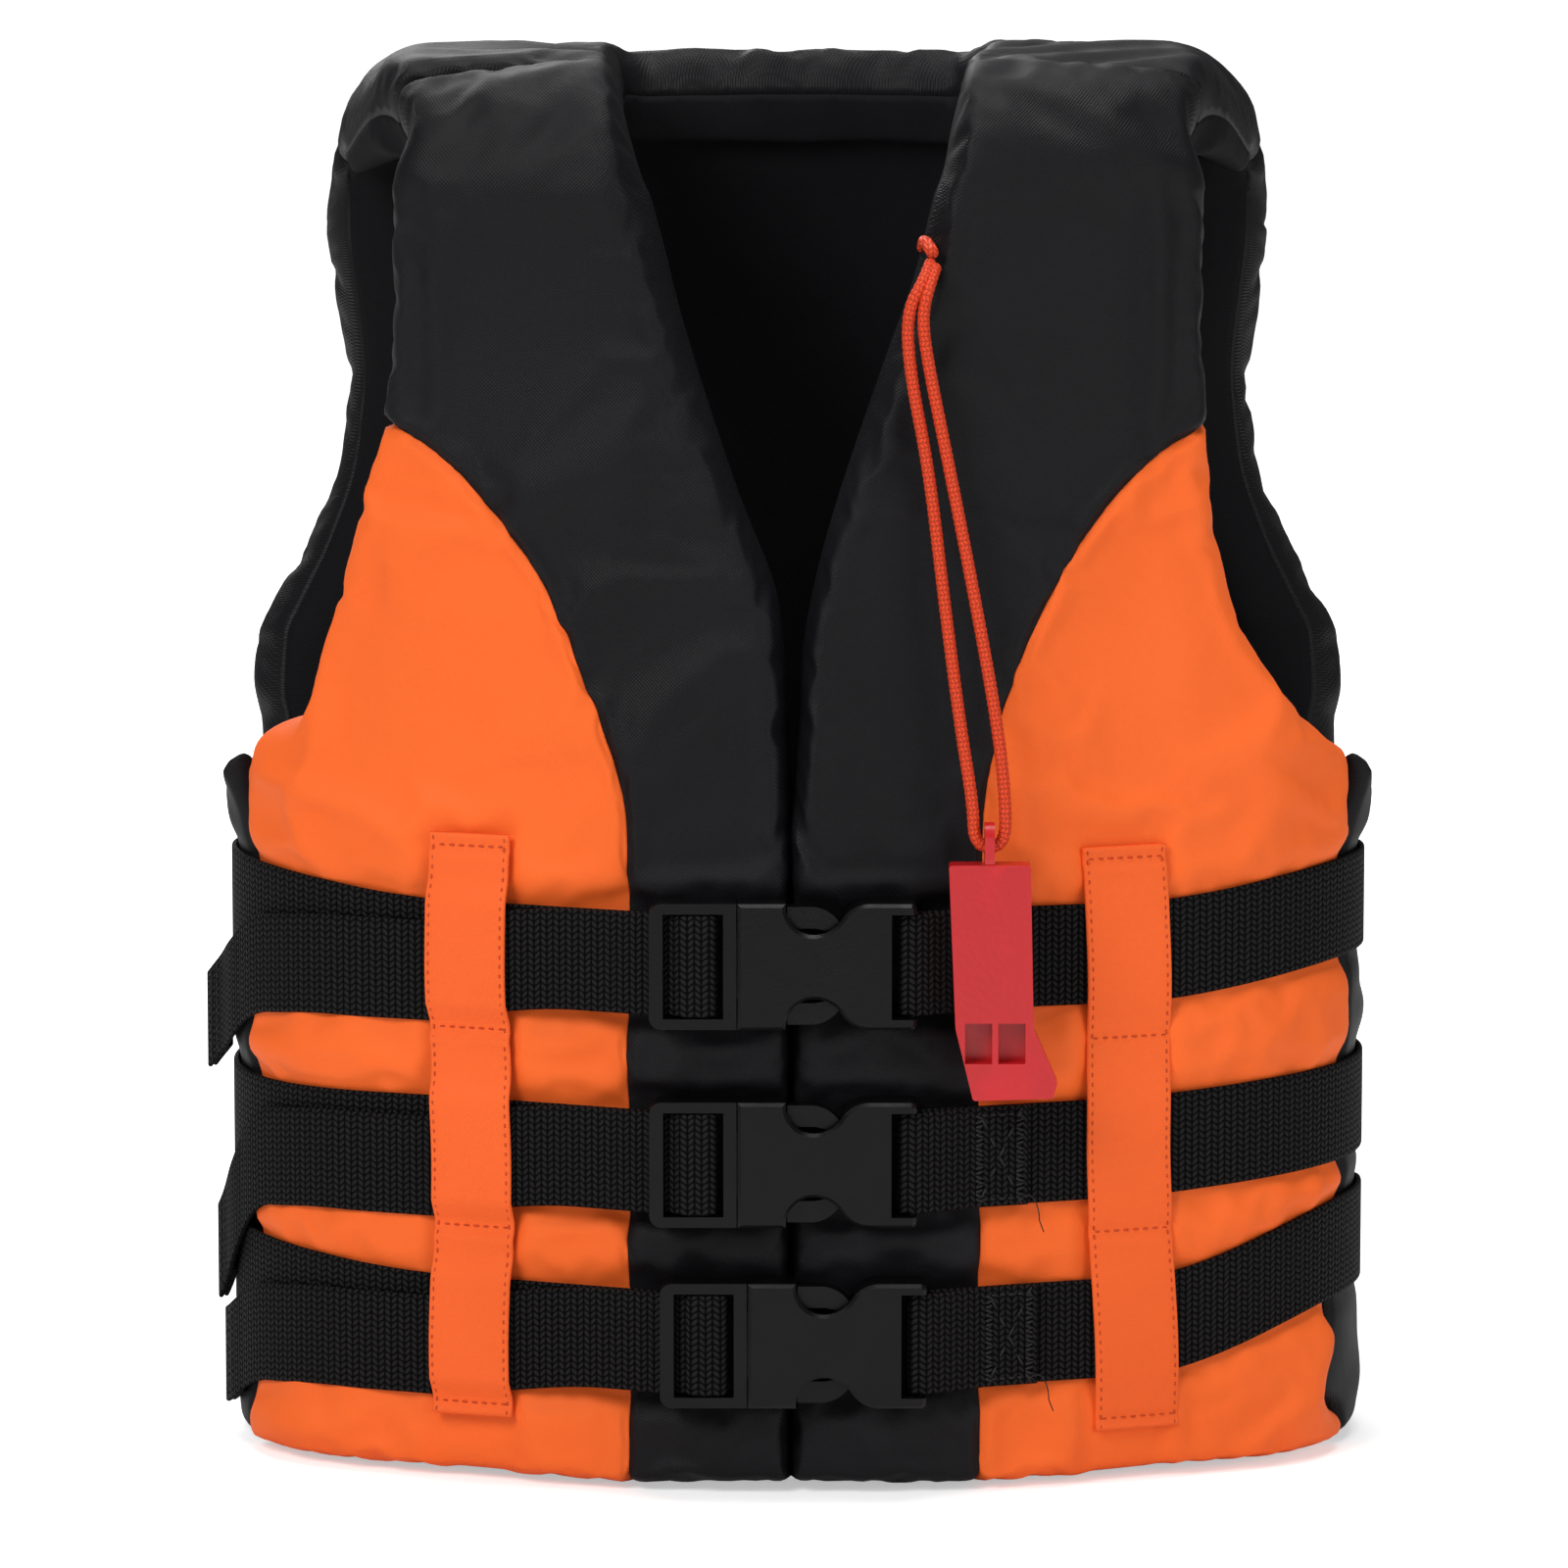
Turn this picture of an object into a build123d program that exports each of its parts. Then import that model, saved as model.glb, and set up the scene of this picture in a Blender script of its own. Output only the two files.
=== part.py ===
from build123d import *
import os
from math import acos, atan2, cos, degrees, pi, radians, sin, tan

os.makedirs("parts", exist_ok=True)

# A child's foam life jacket, buckled up and standing on its hem.
# Millimetres.  +X is the wearer's left, -Y the front, +Z up.
# The origin lies in the plane of the hem, under the middle of the whole, buckles included.

# ---- Driving dimensions: jacket ----
HEIGHT = 345.0
HALF_WIDTH = 138.0
HALF_DEPTH = 80.0
SIDE_RADIUS = 62.0
SHOULDER_FOLD = 30.0
THICKNESS = 24.0
SKIN = 1.0
FOAM_GAP = 0.3
FRONT_GAP = 0.4
SIDE_SEAM_Y = 24.0
SHOULDER_SEAM_Y = 42.0
SHOULDER_Z = 290.0
ARMHOLE_BOTTOM = 168.0
ARMHOLE_FRONT_X = 97.0
ARMHOLE_BACK_X = 113.0
NECK_BOTTOM = 207.0
NECK_HALF = 43.0
NECK_BACK_Y = 56.0
PANEL_SEAM_X = 43.0
PANEL_SEAM_BEND_Z = 165.0

# ---- Driving dimensions: webbing and buckles ----
WEB_WIDTH = 25.0
WEB_THICK = 1.5
CLEARANCE = 0.3
# Height of each belt's middle, its buckle's shift along X, and how far its free tail droops.
LEVELS = {"top": (133.0, -1.0, 28.0), "middle": (84.0, -1.0, 38.0), "bottom": (39.0, 1.5, 19.0)}
BUCKLE_BACK = 81.0
BUCKLE_THICK = 11.0
BUCKLE_HALF = 15.5
BAR_Y = -86.5
FEMALE_BAR = 1.4
MALE_BAR = 2.5
MALE_BAR_X = (-26.3, -21.0)
MALE_BAR_Y = -88.25
TAIL_ROOT_ANGLE = 23.2
# The panels are drawn about their own middle, which lies this far behind the origin.
MIDDLE_Y = 5.0

# ---- Driving dimensions: whistle ----
CORD_DIAMETER = 3.0
RING = (46.3, -89.5, 162.3)
WHISTLE_DEPTH = 7.0
WHISTLE_HALF = 9.9

# ---- Plan outline of the jacket: four tangent arcs ----
SIDE_CENTRE = HALF_WIDTH - SIDE_RADIUS
STEP = HALF_DEPTH - SIDE_RADIUS
FRONT_CENTRE = (SIDE_CENTRE**2 - STEP**2) / (2 * STEP)
FRONT_RADIUS = HALF_DEPTH + FRONT_CENTRE
JOIN_ANGLE = degrees(atan2(SIDE_CENTRE, FRONT_CENTRE))
SIDE_SWEEP = 180 - 2 * JOIN_ANGLE


def save(part, name):
    """Moves a finished piece to its place about the origin, labels it and writes its STEP file."""
    placed = part.moved(Location((0, MIDDLE_Y, 0)))
    placed.label = name
    export_step(placed, f"parts/{name}.step")


def oval(inset):
    """Plan outline of the jacket as a face, moved in by inset."""
    with BuildSketch() as plan:
        with BuildLine():
            for turn, centre in ((270, FRONT_CENTRE), (90, -FRONT_CENTRE)):
                CenterArc((0, centre), FRONT_RADIUS - inset, turn - JOIN_ANGLE, 2 * JOIN_ANGLE)
            for turn, centre in ((0, SIDE_CENTRE), (180, -SIDE_CENTRE)):
                CenterArc((centre, 0), SIDE_RADIUS - inset, turn - SIDE_SWEEP / 2, SIDE_SWEEP)
        make_face()
    return plan.sketch


def dome(inset):
    """Solid inside the jacket's outer surface, moved in by inset, closed over the shoulders."""
    outline = oval(inset)
    with BuildPart() as solid:
        with BuildSketch(Plane.XY.offset(-1)):
            add(outline)
        extrude(amount=HEIGHT - inset + 1)
        fillet(solid.edges().group_by(Axis.Z)[-1], SHOULDER_FOLD - inset)
    return solid.part


def armhole_cutter(inset):
    """Both armholes: a U seen from the side, out through the flank and the shoulder's edge."""
    reach = 100.0
    start = 60.0
    with BuildPart() as cutter:
        with BuildSketch(Plane.YZ.offset(start)) as outline:
            with BuildLine():
                Polyline(
                    (-59, 400), (-59, 262), (-42, ARMHOLE_BOTTOM),
                    (34, ARMHOLE_BOTTOM), (53, 256), (53, 400), close=True,
                )
            make_face()
            fillet(outline.vertices().group_by(Axis.Y)[0], 30)
            if inset:
                offset(amount=inset)
        extrude(amount=reach)
        edge = Plane(
            origin=(ARMHOLE_FRONT_X - inset, -60, 0),
            z_dir=(110, ARMHOLE_FRONT_X - ARMHOLE_BACK_X, 0),
        )
        split(bisect_by=edge, keep=Keep.TOP)
        mirror(about=Plane.YZ)
    return cutter.part


def neck_cutter(inset):
    """The V of the neck, from the front to the inside of the back."""
    front = HALF_DEPTH + 20
    with BuildPart() as cutter:
        with BuildSketch(Plane.XZ.offset(front)):
            with BuildLine():
                ThreePointArc((0, NECK_BOTTOM), (24.4, 280), (NECK_HALF, 352))
                Polyline((NECK_HALF, 352), (NECK_HALF, 400), (0, 400))
                mirror(about=Plane.YZ)
            make_face()
            if inset:
                offset(amount=inset)
        extrude(amount=-(front + NECK_BACK_Y + inset))
    return cutter.part


INSETS = (0, SKIN, SKIN + FOAM_GAP)
CUTTERS = {inset: (armhole_cutter(inset), neck_cutter(inset)) for inset in INSETS}
FOAM_OUT = SKIN + FOAM_GAP
FOAM_IN = THICKNESS - SKIN - FOAM_GAP
LINING_OUT = THICKNESS - SKIN
DOMES = {d: dome(d) for d in (0, SKIN, FOAM_OUT, FOAM_IN, LINING_OUT, THICKNESS)}


def front_profile(inset):
    """Side view of the space of a front panel: up to the side seam and the shoulder seam."""
    side = -SIDE_SEAM_Y - inset
    shoulder = -SHOULDER_SEAM_Y - inset
    shelf = SHOULDER_Z - inset
    return [(-200, inset), (side, inset), (side, shelf), (shoulder, shelf), (shoulder, 400), (-200, 400)]


def back_profile(inset):
    """Side view of the space of the back panel."""
    return [(-y, z) for y, z in front_profile(inset)]


def shoulder_profile(inset):
    """Side view of the space of a shoulder yoke."""
    half = SHOULDER_SEAM_Y - inset
    return [(-half, SHOULDER_Z + inset), (half, SHOULDER_Z + inset), (half, 400), (-half, 400)]


def space(profile, low, high, inset):
    """Space that a panel may fill between two widths, clear of the armholes and the neck."""
    with BuildPart() as room:
        with BuildSketch(Plane.YZ.offset(low + inset)):
            with BuildLine():
                Polyline(*profile(inset), close=True)
            make_face()
        extrude(amount=high - low - 2 * inset)
        for cutter in CUTTERS[inset]:
            add(cutter, mode=Mode.SUBTRACT)
    return room.part


def layer(room, outer, inner):
    """What a room holds between two depths below the jacket's outer surface."""
    with BuildPart() as slab:
        add(room)
        add(DOMES[outer], mode=Mode.INTERSECT)
        add(DOMES[inner], mode=Mode.SUBTRACT)
    return slab.part


def padded_panel(profile, low, high):
    """Cover with its turned edges, foam and lining of one sewn panel."""
    slab = layer(space(profile, low, high, 0), 0, THICKNESS)
    with BuildPart() as core:
        add(space(profile, low, high, SKIN))
        add(DOMES[SKIN], mode=Mode.INTERSECT)
    with BuildPart() as cover:
        add(slab)
        add(core.part, mode=Mode.SUBTRACT)
    lining = layer(space(profile, low, high, SKIN), LINING_OUT, THICKNESS)
    foam = layer(space(profile, low, high, FOAM_OUT), FOAM_OUT, FOAM_IN)
    return cover.part, foam, lining


def black_front():
    """Prism over the black part of both fronts, with its curved seam."""
    with BuildPart() as prism:
        with BuildSketch(Plane.XZ.offset(-10)):
            with BuildLine():
                Polyline((0, -10), (PANEL_SEAM_X, -10), (PANEL_SEAM_X, PANEL_SEAM_BEND_Z))
                TangentArc((PANEL_SEAM_X, PANEL_SEAM_BEND_Z), (98, 259), tangent=(0, 1))
                Polyline((98, 259), (150, 285), (150, 400), (0, 400))
                mirror(about=Plane.YZ)
            make_face()
        extrude(amount=120)
    return prism.part


# ---- Front panels: black centre and orange side over one block of foam ----
FAR = 200.0
BLACK = black_front()
for side, low, high in (("left", FRONT_GAP, FAR), ("right", -FAR, -FRONT_GAP)):
    cover, foam, lining = padded_panel(front_profile, low, high)
    with BuildPart() as black_cover:
        add(cover)
        add(BLACK, mode=Mode.INTERSECT)
    with BuildPart() as orange_cover:
        add(cover)
        add(BLACK, mode=Mode.SUBTRACT)
    save(black_cover.part, f"front_{side}_black_cover")
    save(orange_cover.part, f"front_{side}_orange_cover")
    save(foam, f"front_{side}_foam")
    save(lining, f"front_{side}_lining")

# ---- Back panel ----
cover, foam, lining = padded_panel(back_profile, -FAR, FAR)
save(cover, "back_cover")
save(foam, "back_foam")
save(lining, "back_lining")

# ---- Shoulder yokes and side gussets ----
for side, low, high in (("left", 0, FAR), ("right", -FAR, 0)):
    cover, foam, lining = padded_panel(shoulder_profile, low, high)
    save(cover, f"shoulder_{side}_cover")
    save(foam, f"shoulder_{side}_pad")
    save(lining, f"shoulder_{side}_lining")

GUSSET_OUT = 2.0
GUSSET_IN = 10.0
for side, centre in (("left", 1), ("right", -1)):
    outer, inner = oval(GUSSET_OUT), oval(GUSSET_IN)
    with BuildPart() as gusset:
        with BuildSketch(Plane.XY):
            add(outer)
            add(inner, mode=Mode.SUBTRACT)
        extrude(amount=ARMHOLE_BOTTOM)
        with BuildSketch(Plane.XY):
            with Locations((centre * FAR / 2, 0)):
                Rectangle(FAR, 2 * SIDE_SEAM_Y - CLEARANCE)
        extrude(amount=ARMHOLE_BOTTOM, mode=Mode.INTERSECT)
    save(gusset.part, f"side_{side}_gusset")


# ---- Orange loop strips that hold the belts on the front panels ----
STRIP_THICK = 1.2
STITCH_ROW = 2.5


def band(inner, outer, bottom, top):
    """Upright band round the jacket between two distances outside it."""
    outline, hole = oval(-outer), oval(-inner)
    with BuildPart() as ring:
        with BuildSketch(Plane.XY.offset(bottom)):
            add(outline)
            add(hole, mode=Mode.SUBTRACT)
        extrude(amount=top - bottom)
    return ring.part


def loop_strip(centre_x, width, bottom, top, stand_off, rows):
    """A strip of tape standing off the panel, with a foot at each row of stitches."""
    tape = band(stand_off, stand_off + STRIP_THICK, bottom, top)
    feet = [band(CLEARANCE, stand_off, row - STITCH_ROW / 2, row + STITCH_ROW / 2) for row in rows]
    with BuildPart() as strip:
        add(tape)
        add(feet)
        with BuildSketch(Plane.XY.offset(bottom)):
            with Locations((centre_x, -HALF_DEPTH)):
                Rectangle(width, HALF_DEPTH)
        extrude(amount=top - bottom, mode=Mode.INTERSECT)
    return strip.part


ROWS = (21.5, 61.5, 108.5, 159.5)
save(loop_strip(79, 21, 18, 163, 2.4, ROWS), "left_loop_strip")
save(loop_strip(-78.5, 20, 18, 163, 5.4, ROWS), "right_loop_strip")

# ---- Webbing ----
BELT_OUT = CLEARANCE + WEB_THICK / 2
TAIL_OUT = BELT_OUT + WEB_THICK + 0.25


def tangent_angle(x, y, out):
    """Angle from straight ahead at which a strap from (x, y) lies down on the front arc."""
    dx, dy = abs(x), FRONT_CENTRE - y
    return degrees(atan2(dx, dy)) + degrees(acos((FRONT_RADIUS + out) / (dx**2 + dy**2) ** 0.5))


def on_front(angle, out, side):
    """Point on the front arc, a distance out, at an angle from straight ahead."""
    radius = FRONT_RADIUS + out
    return (side * radius * sin(radians(angle)), FRONT_CENTRE - radius * cos(radians(angle)))


def fixed_half_bar(shift):
    """Position along X of the webbing bar of the fixed buckle half."""
    return 28.2 + shift


def adjuster_entry(shift):
    """Where a belt comes up to the sliding buckle half."""
    return (-34.0 + shift, -84.75)


def strap(path):
    """Webbing standing on edge along a flat path."""
    ahead = path % 0
    across = Vector(0, 0, 1).cross(ahead)
    with BuildPart() as web:
        with BuildSketch(Plane(origin=path @ 0, x_dir=across, z_dir=ahead)):
            Rectangle(WEB_THICK, WEB_WIDTH)
        sweep(path=path)
    return web.part


def belt(level, shift):
    """Belt from its sewn loop on the fixed buckle half, round the back, to the other front."""
    bar = fixed_half_bar(shift)
    bend = FEMALE_BAR + CLEARANCE + WEB_THICK / 2
    inner, outer = BAR_Y + bend, BAR_Y - bend
    start = tangent_angle(bar, inner, BELT_OUT)
    end = tangent_angle(*adjuster_entry(shift), BELT_OUT)
    touch = on_front(start, BELT_OUT, 1)
    slope = (touch[1] - inner) / (touch[0] - bar)
    lap = WEB_THICK + 0.25
    lay_down, sewn = bar + 15, bar + 29
    radius = FRONT_RADIUS + BELT_OUT
    side_radius = SIDE_RADIUS + BELT_OUT
    with BuildLine(Plane.XY.offset(level)) as path:
        FilletPolyline(
            (sewn, inner + slope * (sewn - bar) - lap),
            (lay_down, inner + slope * (lay_down - bar) - lap),
            (bar + 1, outer),
            (bar - bend, outer),
            (bar - bend, inner),
            (bar + 1, inner + slope),
            touch,
            radius=[12, 3, bend * 0.97, bend * 0.97, 3],
        )
        CenterArc((0, FRONT_CENTRE), radius, 270 + start, JOIN_ANGLE - start)
        CenterArc((SIDE_CENTRE, 0), side_radius, -SIDE_SWEEP / 2, SIDE_SWEEP)
        CenterArc((0, -FRONT_CENTRE), radius, 90 - JOIN_ANGLE, 2 * JOIN_ANGLE)
        CenterArc((-SIDE_CENTRE, 0), side_radius, 180 - SIDE_SWEEP / 2, SIDE_SWEEP)
        CenterArc((0, FRONT_CENTRE), radius, 270 - JOIN_ANGLE, JOIN_ANGLE - end)
    return strap(path.wire())


def adjuster(level, shift):
    """End of a belt threaded through the sliding buckle half and back under the loop strip."""
    entry = adjuster_entry(shift)
    tail = (entry[0] - 2, entry[1] - 2.05)
    meet = on_front(tangent_angle(*entry, BELT_OUT), BELT_OUT, -1)
    tail_angle = tangent_angle(*tail, TAIL_OUT)
    bend = MALE_BAR / 2 + CLEARANCE + WEB_THICK / 2
    right = MALE_BAR_X[1] + bend * 0.65 + shift
    with BuildLine(Plane.XY.offset(level)) as path:
        FilletPolyline(
            meet,
            entry,
            (MALE_BAR_X[0] + shift, MALE_BAR_Y + bend),
            (right, MALE_BAR_Y + bend),
            (right, MALE_BAR_Y - bend),
            (MALE_BAR_X[0] - 0.6 + shift, MALE_BAR_Y - bend),
            (MALE_BAR_X[0] - 5.7 + shift, tail[1] - 0.05),
            tail,
            on_front(tail_angle, TAIL_OUT, -1),
            radius=[6, 6, bend * 0.97, bend * 0.97, 1.2, 1.2, 2],
        )
        CenterArc((0, FRONT_CENTRE), FRONT_RADIUS + TAIL_OUT, 270 - tail_angle, -TAIL_ROOT_ANGLE + tail_angle)
    return strap(path.wire())


def tail_root(level):
    """Outer corner of a free tail's root, which it turns about."""
    radius = TAIL_OUT + WEB_THICK / 2
    return (*on_front(TAIL_ROOT_ANGLE, radius, -1), level)


def free_tail(level, drop):
    """Loose end of a belt: it hugs the flank, drops as it goes and stands off at its tip."""
    leave = 196.0
    straight = 20.0
    side_radius = SIDE_RADIUS + TAIL_OUT
    start = 270 - TAIL_ROOT_ANGLE - 0.1
    heading = (sin(radians(leave)), -cos(radians(leave)))
    off = (-SIDE_CENTRE + side_radius * cos(radians(leave)), side_radius * sin(radians(leave)))
    tip = (off[0] + straight * heading[0], off[1] + straight * heading[1])
    root_x = tail_root(level)[0]
    half = WEB_WIDTH / 2
    with BuildLine() as path:
        CenterArc((0, FRONT_CENTRE), FRONT_RADIUS + TAIL_OUT, start, 270 - JOIN_ANGLE - start)
        CenterArc((-SIDE_CENTRE, 0), side_radius, 180 + SIDE_SWEEP / 2, leave - 180 - SIDE_SWEEP / 2)
        Line(off, tip)
    ahead = path.wire() % 0
    across = Vector(0, 0, 1).cross(ahead)
    with BuildPart() as tail:
        with BuildSketch(Plane(origin=path.wire() @ 0, x_dir=across, z_dir=ahead)):
            Rectangle(WEB_THICK, 400)
        sweep(path=path.wire())
        with BuildSketch(Plane.XZ.offset(FAR)):
            with BuildLine():
                Polyline(
                    (root_x + 2, level - half), (root_x + 2, level + half),
                    (root_x, level + half), (tip[0] - 2, level + half - drop),
                    (tip[0] - 2, level - half - drop), (root_x, level - half), close=True,
                )
            make_face()
        extrude(amount=-2 * FAR, mode=Mode.INTERSECT)
    return tail.part


for name, (level, shift, drop) in LEVELS.items():
    save(belt(level, shift), f"belt_{name}")
    save(adjuster(level, shift), f"belt_{name}_adjuster")
    save(free_tail(level, drop), f"belt_{name}_tail")
    print("tail hinge", name, [round(v, 2) for v in tail_root(level)])


# ---- Side-release buckles ----
# In a buckle's own plane, x runs along the belt and y up; its front is towards the wearer's front.
MOUTH = -13.9
SCOOP_START, SCOOP_LOW, SCOOP_END = -2.2, 4.7, 18.3
WAIST = 7.9
BODY_END = 23.6
FEMALE_END = 29.7
CAVITY_HALF = 12.5
CAVITY_END = 14.0
PLATE = 2.5
SLOT_HALF = WEB_WIDTH / 2 + 0.4
MALE_LEFT = -35.5
LEFT_BAR = 3.4
CROSS_LEFT, CROSS_RIGHT = -17.4, -14.2
ARM_ROOT = -13.7
PRONG_END = 12.0


def buckle_plane(level, shift, depth):
    """Plane of a buckle at a depth in front of its back face, facing forward."""
    return Plane(origin=(shift, -BUCKLE_BACK - depth, level), x_dir=(1, 0, 0), z_dir=(0, -1, 0))


def buckle_female(level, shift):
    """Fixed half: a flat box open at its mouth, waisted by two scoops, with a webbing bar."""
    middle = (SCOOP_LOW + SCOOP_END) / 2
    rise = (WAIST + BUCKLE_HALF) / 2
    with BuildPart() as body:
        with BuildSketch(buckle_plane(level, shift, 0)) as outline:
            with BuildLine():
                Polyline((MOUTH, 0), (MOUTH, BUCKLE_HALF), (SCOOP_START, BUCKLE_HALF))
                TangentArc((SCOOP_LOW, WAIST), (SCOOP_START, BUCKLE_HALF), tangent=(-1, 0))
                TangentArc((SCOOP_LOW, WAIST), (middle, rise), tangent=(1, 0))
                TangentArc((SCOOP_END, BUCKLE_HALF), (middle, rise), tangent=(-1, 0))
                Polyline((SCOOP_END, BUCKLE_HALF), (FEMALE_END, BUCKLE_HALF), (FEMALE_END, 0))
                mirror(about=Plane.XZ)
            make_face()
            fillet(outline.vertices().group_by(Axis.X)[-1], 1.5)
        extrude(amount=BUCKLE_THICK)
        chamfer(body.faces().sort_by(Axis.Y)[0].outer_wire().edges(), 0.8)
        with BuildSketch(buckle_plane(level, shift, 0)):
            with Locations((BODY_END, 0)):
                Rectangle(20, 2 * SLOT_HALF, align=(Align.MIN, Align.CENTER))
        extrude(amount=BUCKLE_THICK, mode=Mode.SUBTRACT)
        with BuildSketch(buckle_plane(level, shift, PLATE)):
            with Locations((MOUTH - 1, 0)):
                Rectangle(CAVITY_END - MOUTH + 1, 2 * CAVITY_HALF, align=(Align.MIN, Align.CENTER))
        extrude(amount=BUCKLE_THICK - 2 * PLATE, mode=Mode.SUBTRACT)
        with BuildSketch(Plane.XY.offset(level)):
            with Locations((fixed_half_bar(shift), BAR_Y)):
                Circle(FEMALE_BAR)
        extrude(amount=SLOT_HALF + 0.5, both=True)
    return body.part


def buckle_male(level, shift):
    """Sliding half: a frame with the adjuster's bars, a base in the mouth and a guide prong."""
    frame_end = CROSS_RIGHT
    with BuildPart() as body:
        with BuildSketch(buckle_plane(level, shift, 1.5)) as outline:
            with Locations((MALE_LEFT, 0)):
                Rectangle(frame_end - MALE_LEFT, 2 * BUCKLE_HALF, align=(Align.MIN, Align.CENTER))
            fillet(outline.vertices().group_by(Axis.X)[0], 3)
            with Locations((MALE_LEFT - 1, 0)):
                Rectangle(
                    CROSS_LEFT - MALE_LEFT + 1, 2 * SLOT_HALF,
                    align=(Align.MIN, Align.CENTER), mode=Mode.SUBTRACT,
                )
        extrude(amount=8.5)
        with BuildSketch(buckle_plane(level, shift, 7.0)) as left_bar:
            with Locations((MALE_LEFT, 0)):
                Rectangle(LEFT_BAR, 2 * BUCKLE_HALF, align=(Align.MIN, Align.CENTER))
            fillet(left_bar.vertices().group_by(Axis.X)[0], 3)
        extrude(amount=3)
        with BuildSketch(buckle_plane(level, shift, -BUCKLE_BACK - MALE_BAR_Y - MALE_BAR / 2)):
            with Locations((MALE_BAR_X[0], 0)):
                Rectangle(
                    MALE_BAR_X[1] - MALE_BAR_X[0], 2 * SLOT_HALF + 1,
                    align=(Align.MIN, Align.CENTER),
                )
        extrude(amount=MALE_BAR)
        with BuildSketch(buckle_plane(level, shift, 2.9)):
            with Locations((CROSS_RIGHT - 1, 0)):
                Rectangle(5.2, 16.4, align=(Align.MIN, Align.CENTER))
        extrude(amount=5.2)
        with BuildSketch(buckle_plane(level, shift, 3.6)) as prong:
            with Locations((CROSS_RIGHT, 0)):
                Rectangle(PRONG_END - CROSS_RIGHT, 4.0, align=(Align.MIN, Align.CENTER))
            fillet(prong.vertices().group_by(Axis.X)[-1], 1.4)
        extrude(amount=3.8)
    return body.part


def latch_arm(level, shift, side):
    """Springy latch arm: its barb stands in the scoop behind the mouth's side wall."""
    with BuildPart() as arm:
        with BuildSketch(buckle_plane(level, shift, 2.85)):
            with BuildLine():
                Polyline((ARM_ROOT, 9.2), (ARM_ROOT, 11.9), (-1.8, 11.9), (-1.8, 14.5), (4.6, 14.5))
                ThreePointArc((4.6, 14.5), (9.6, 12.2), (11.8, 9.0))
                Polyline((11.8, 9.0), (11.2, 7.9), (5.0, 9.2), (ARM_ROOT, 9.2))
                if side < 0:
                    mirror(about=Plane.XZ, mode=Mode.REPLACE)
            make_face()
        extrude(amount=5.3)
    return arm.part


for name, (level, shift, _) in LEVELS.items():
    save(buckle_female(level, shift), f"buckle_{name}_female")
    save(buckle_male(level, shift), f"buckle_{name}_male")
    save(latch_arm(level, shift, 1), f"buckle_{name}_arm_upper")
    save(latch_arm(level, shift, -1), f"buckle_{name}_arm_lower")

# ---- Whistle: two flat chambers side by side, a mouthpiece and a ring plate ----
BODY_TOP, BEND, BODY_BOTTOM = -4.1, -44.3, -62.0
PLATE_HALF = 1.2
RING_HOLE = 2.0
CHAMBER_DEPTH = 3.8
WHISTLE_BACK = Plane(
    origin=(RING[0], RING[1] + WHISTLE_DEPTH / 2, RING[2]), x_dir=(1, 0, 0), z_dir=(0, -1, 0),
)
with BuildPart() as whistle:
    with BuildSketch(WHISTLE_BACK):
        with BuildLine():
            Polyline(
                (-WHISTLE_HALF, BODY_TOP), (WHISTLE_HALF, BODY_TOP), (WHISTLE_HALF + 0.9, BEND),
                (WHISTLE_HALF + 6.7, -57.5), (WHISTLE_HALF + 5.7, BODY_BOTTOM + 0.6),
                (-WHISTLE_HALF + 6.0, BODY_BOTTOM), (-WHISTLE_HALF + 1.7, BEND), close=True,
            )
        make_face()
    extrude(amount=WHISTLE_DEPTH)
    fillet(whistle.edges().filter_by(Axis.Y), 0.8)
    with BuildSketch(WHISTLE_BACK.offset((WHISTLE_DEPTH - CHAMBER_DEPTH) / 2)):
        with Locations((-3.6, (BODY_TOP + BEND) / 2 - 1), (4.9, (BODY_TOP + BEND) / 2 - 1)):
            Rectangle(7.0, BODY_TOP - BEND - 6)
    extrude(amount=CHAMBER_DEPTH, mode=Mode.SUBTRACT)
    with BuildSketch(WHISTLE_BACK.offset((WHISTLE_DEPTH - CHAMBER_DEPTH) / 2)):
        with Locations((-2.6, BEND - 3.6), (5.5, BEND - 3.6)):
            Rectangle(6.6, 10)
    extrude(amount=WHISTLE_DEPTH, mode=Mode.SUBTRACT)
    with BuildSketch(Plane.YZ.offset(RING[0] - PLATE_HALF)):
        with Locations((RING[1], RING[2])):
            SlotCenterToCenter(5.2, WHISTLE_DEPTH, rotation=90)
    extrude(amount=2 * PLATE_HALF)
    with BuildSketch(Plane.YZ.offset(RING[0] - PLATE_HALF)):
        with Locations((RING[1], RING[2])):
            Circle(RING_HOLE)
    extrude(amount=2 * PLATE_HALF, mode=Mode.SUBTRACT)
save(whistle.part, "whistle")

# ---- Whistle cord: one loop from the neck seam, through the whistle's ring and back ----
ROUTE = [
    (32.5, -79.6, 304.2), (31.0, -84.6, 299.5), (27.9, -85.2, 290), (28.4, -85.3, 277),
    (31.4, -85.8, 254), (35.3, -86.8, 221), (39.2, -88.0, 191), (42.2, -89.3, 173),
    (42.6, -89.5, 162.3), (50.0, -89.5, 162.3), (50.2, -89.4, 173), (48.3, -88.3, 191),
    (43.2, -87.0, 221), (37.4, -86.0, 254), (33.2, -85.5, 277), (32.8, -85.3, 288),
    (35.7, -84.4, 297.0), (36.6, -79.4, 301.6),
]
SHARE = 0.45
radii = []
for before, here, after in zip(ROUTE, ROUTE[1:], ROUTE[2:]):
    arriving = Vector(*here) - Vector(*before)
    leaving = Vector(*after) - Vector(*here)
    turn = radians(arriving.get_angle(leaving))
    radii.append(SHARE * min(arriving.length, leaving.length) / tan(turn / 2))
print("cord radii", [round(r, 1) for r in radii])
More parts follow.
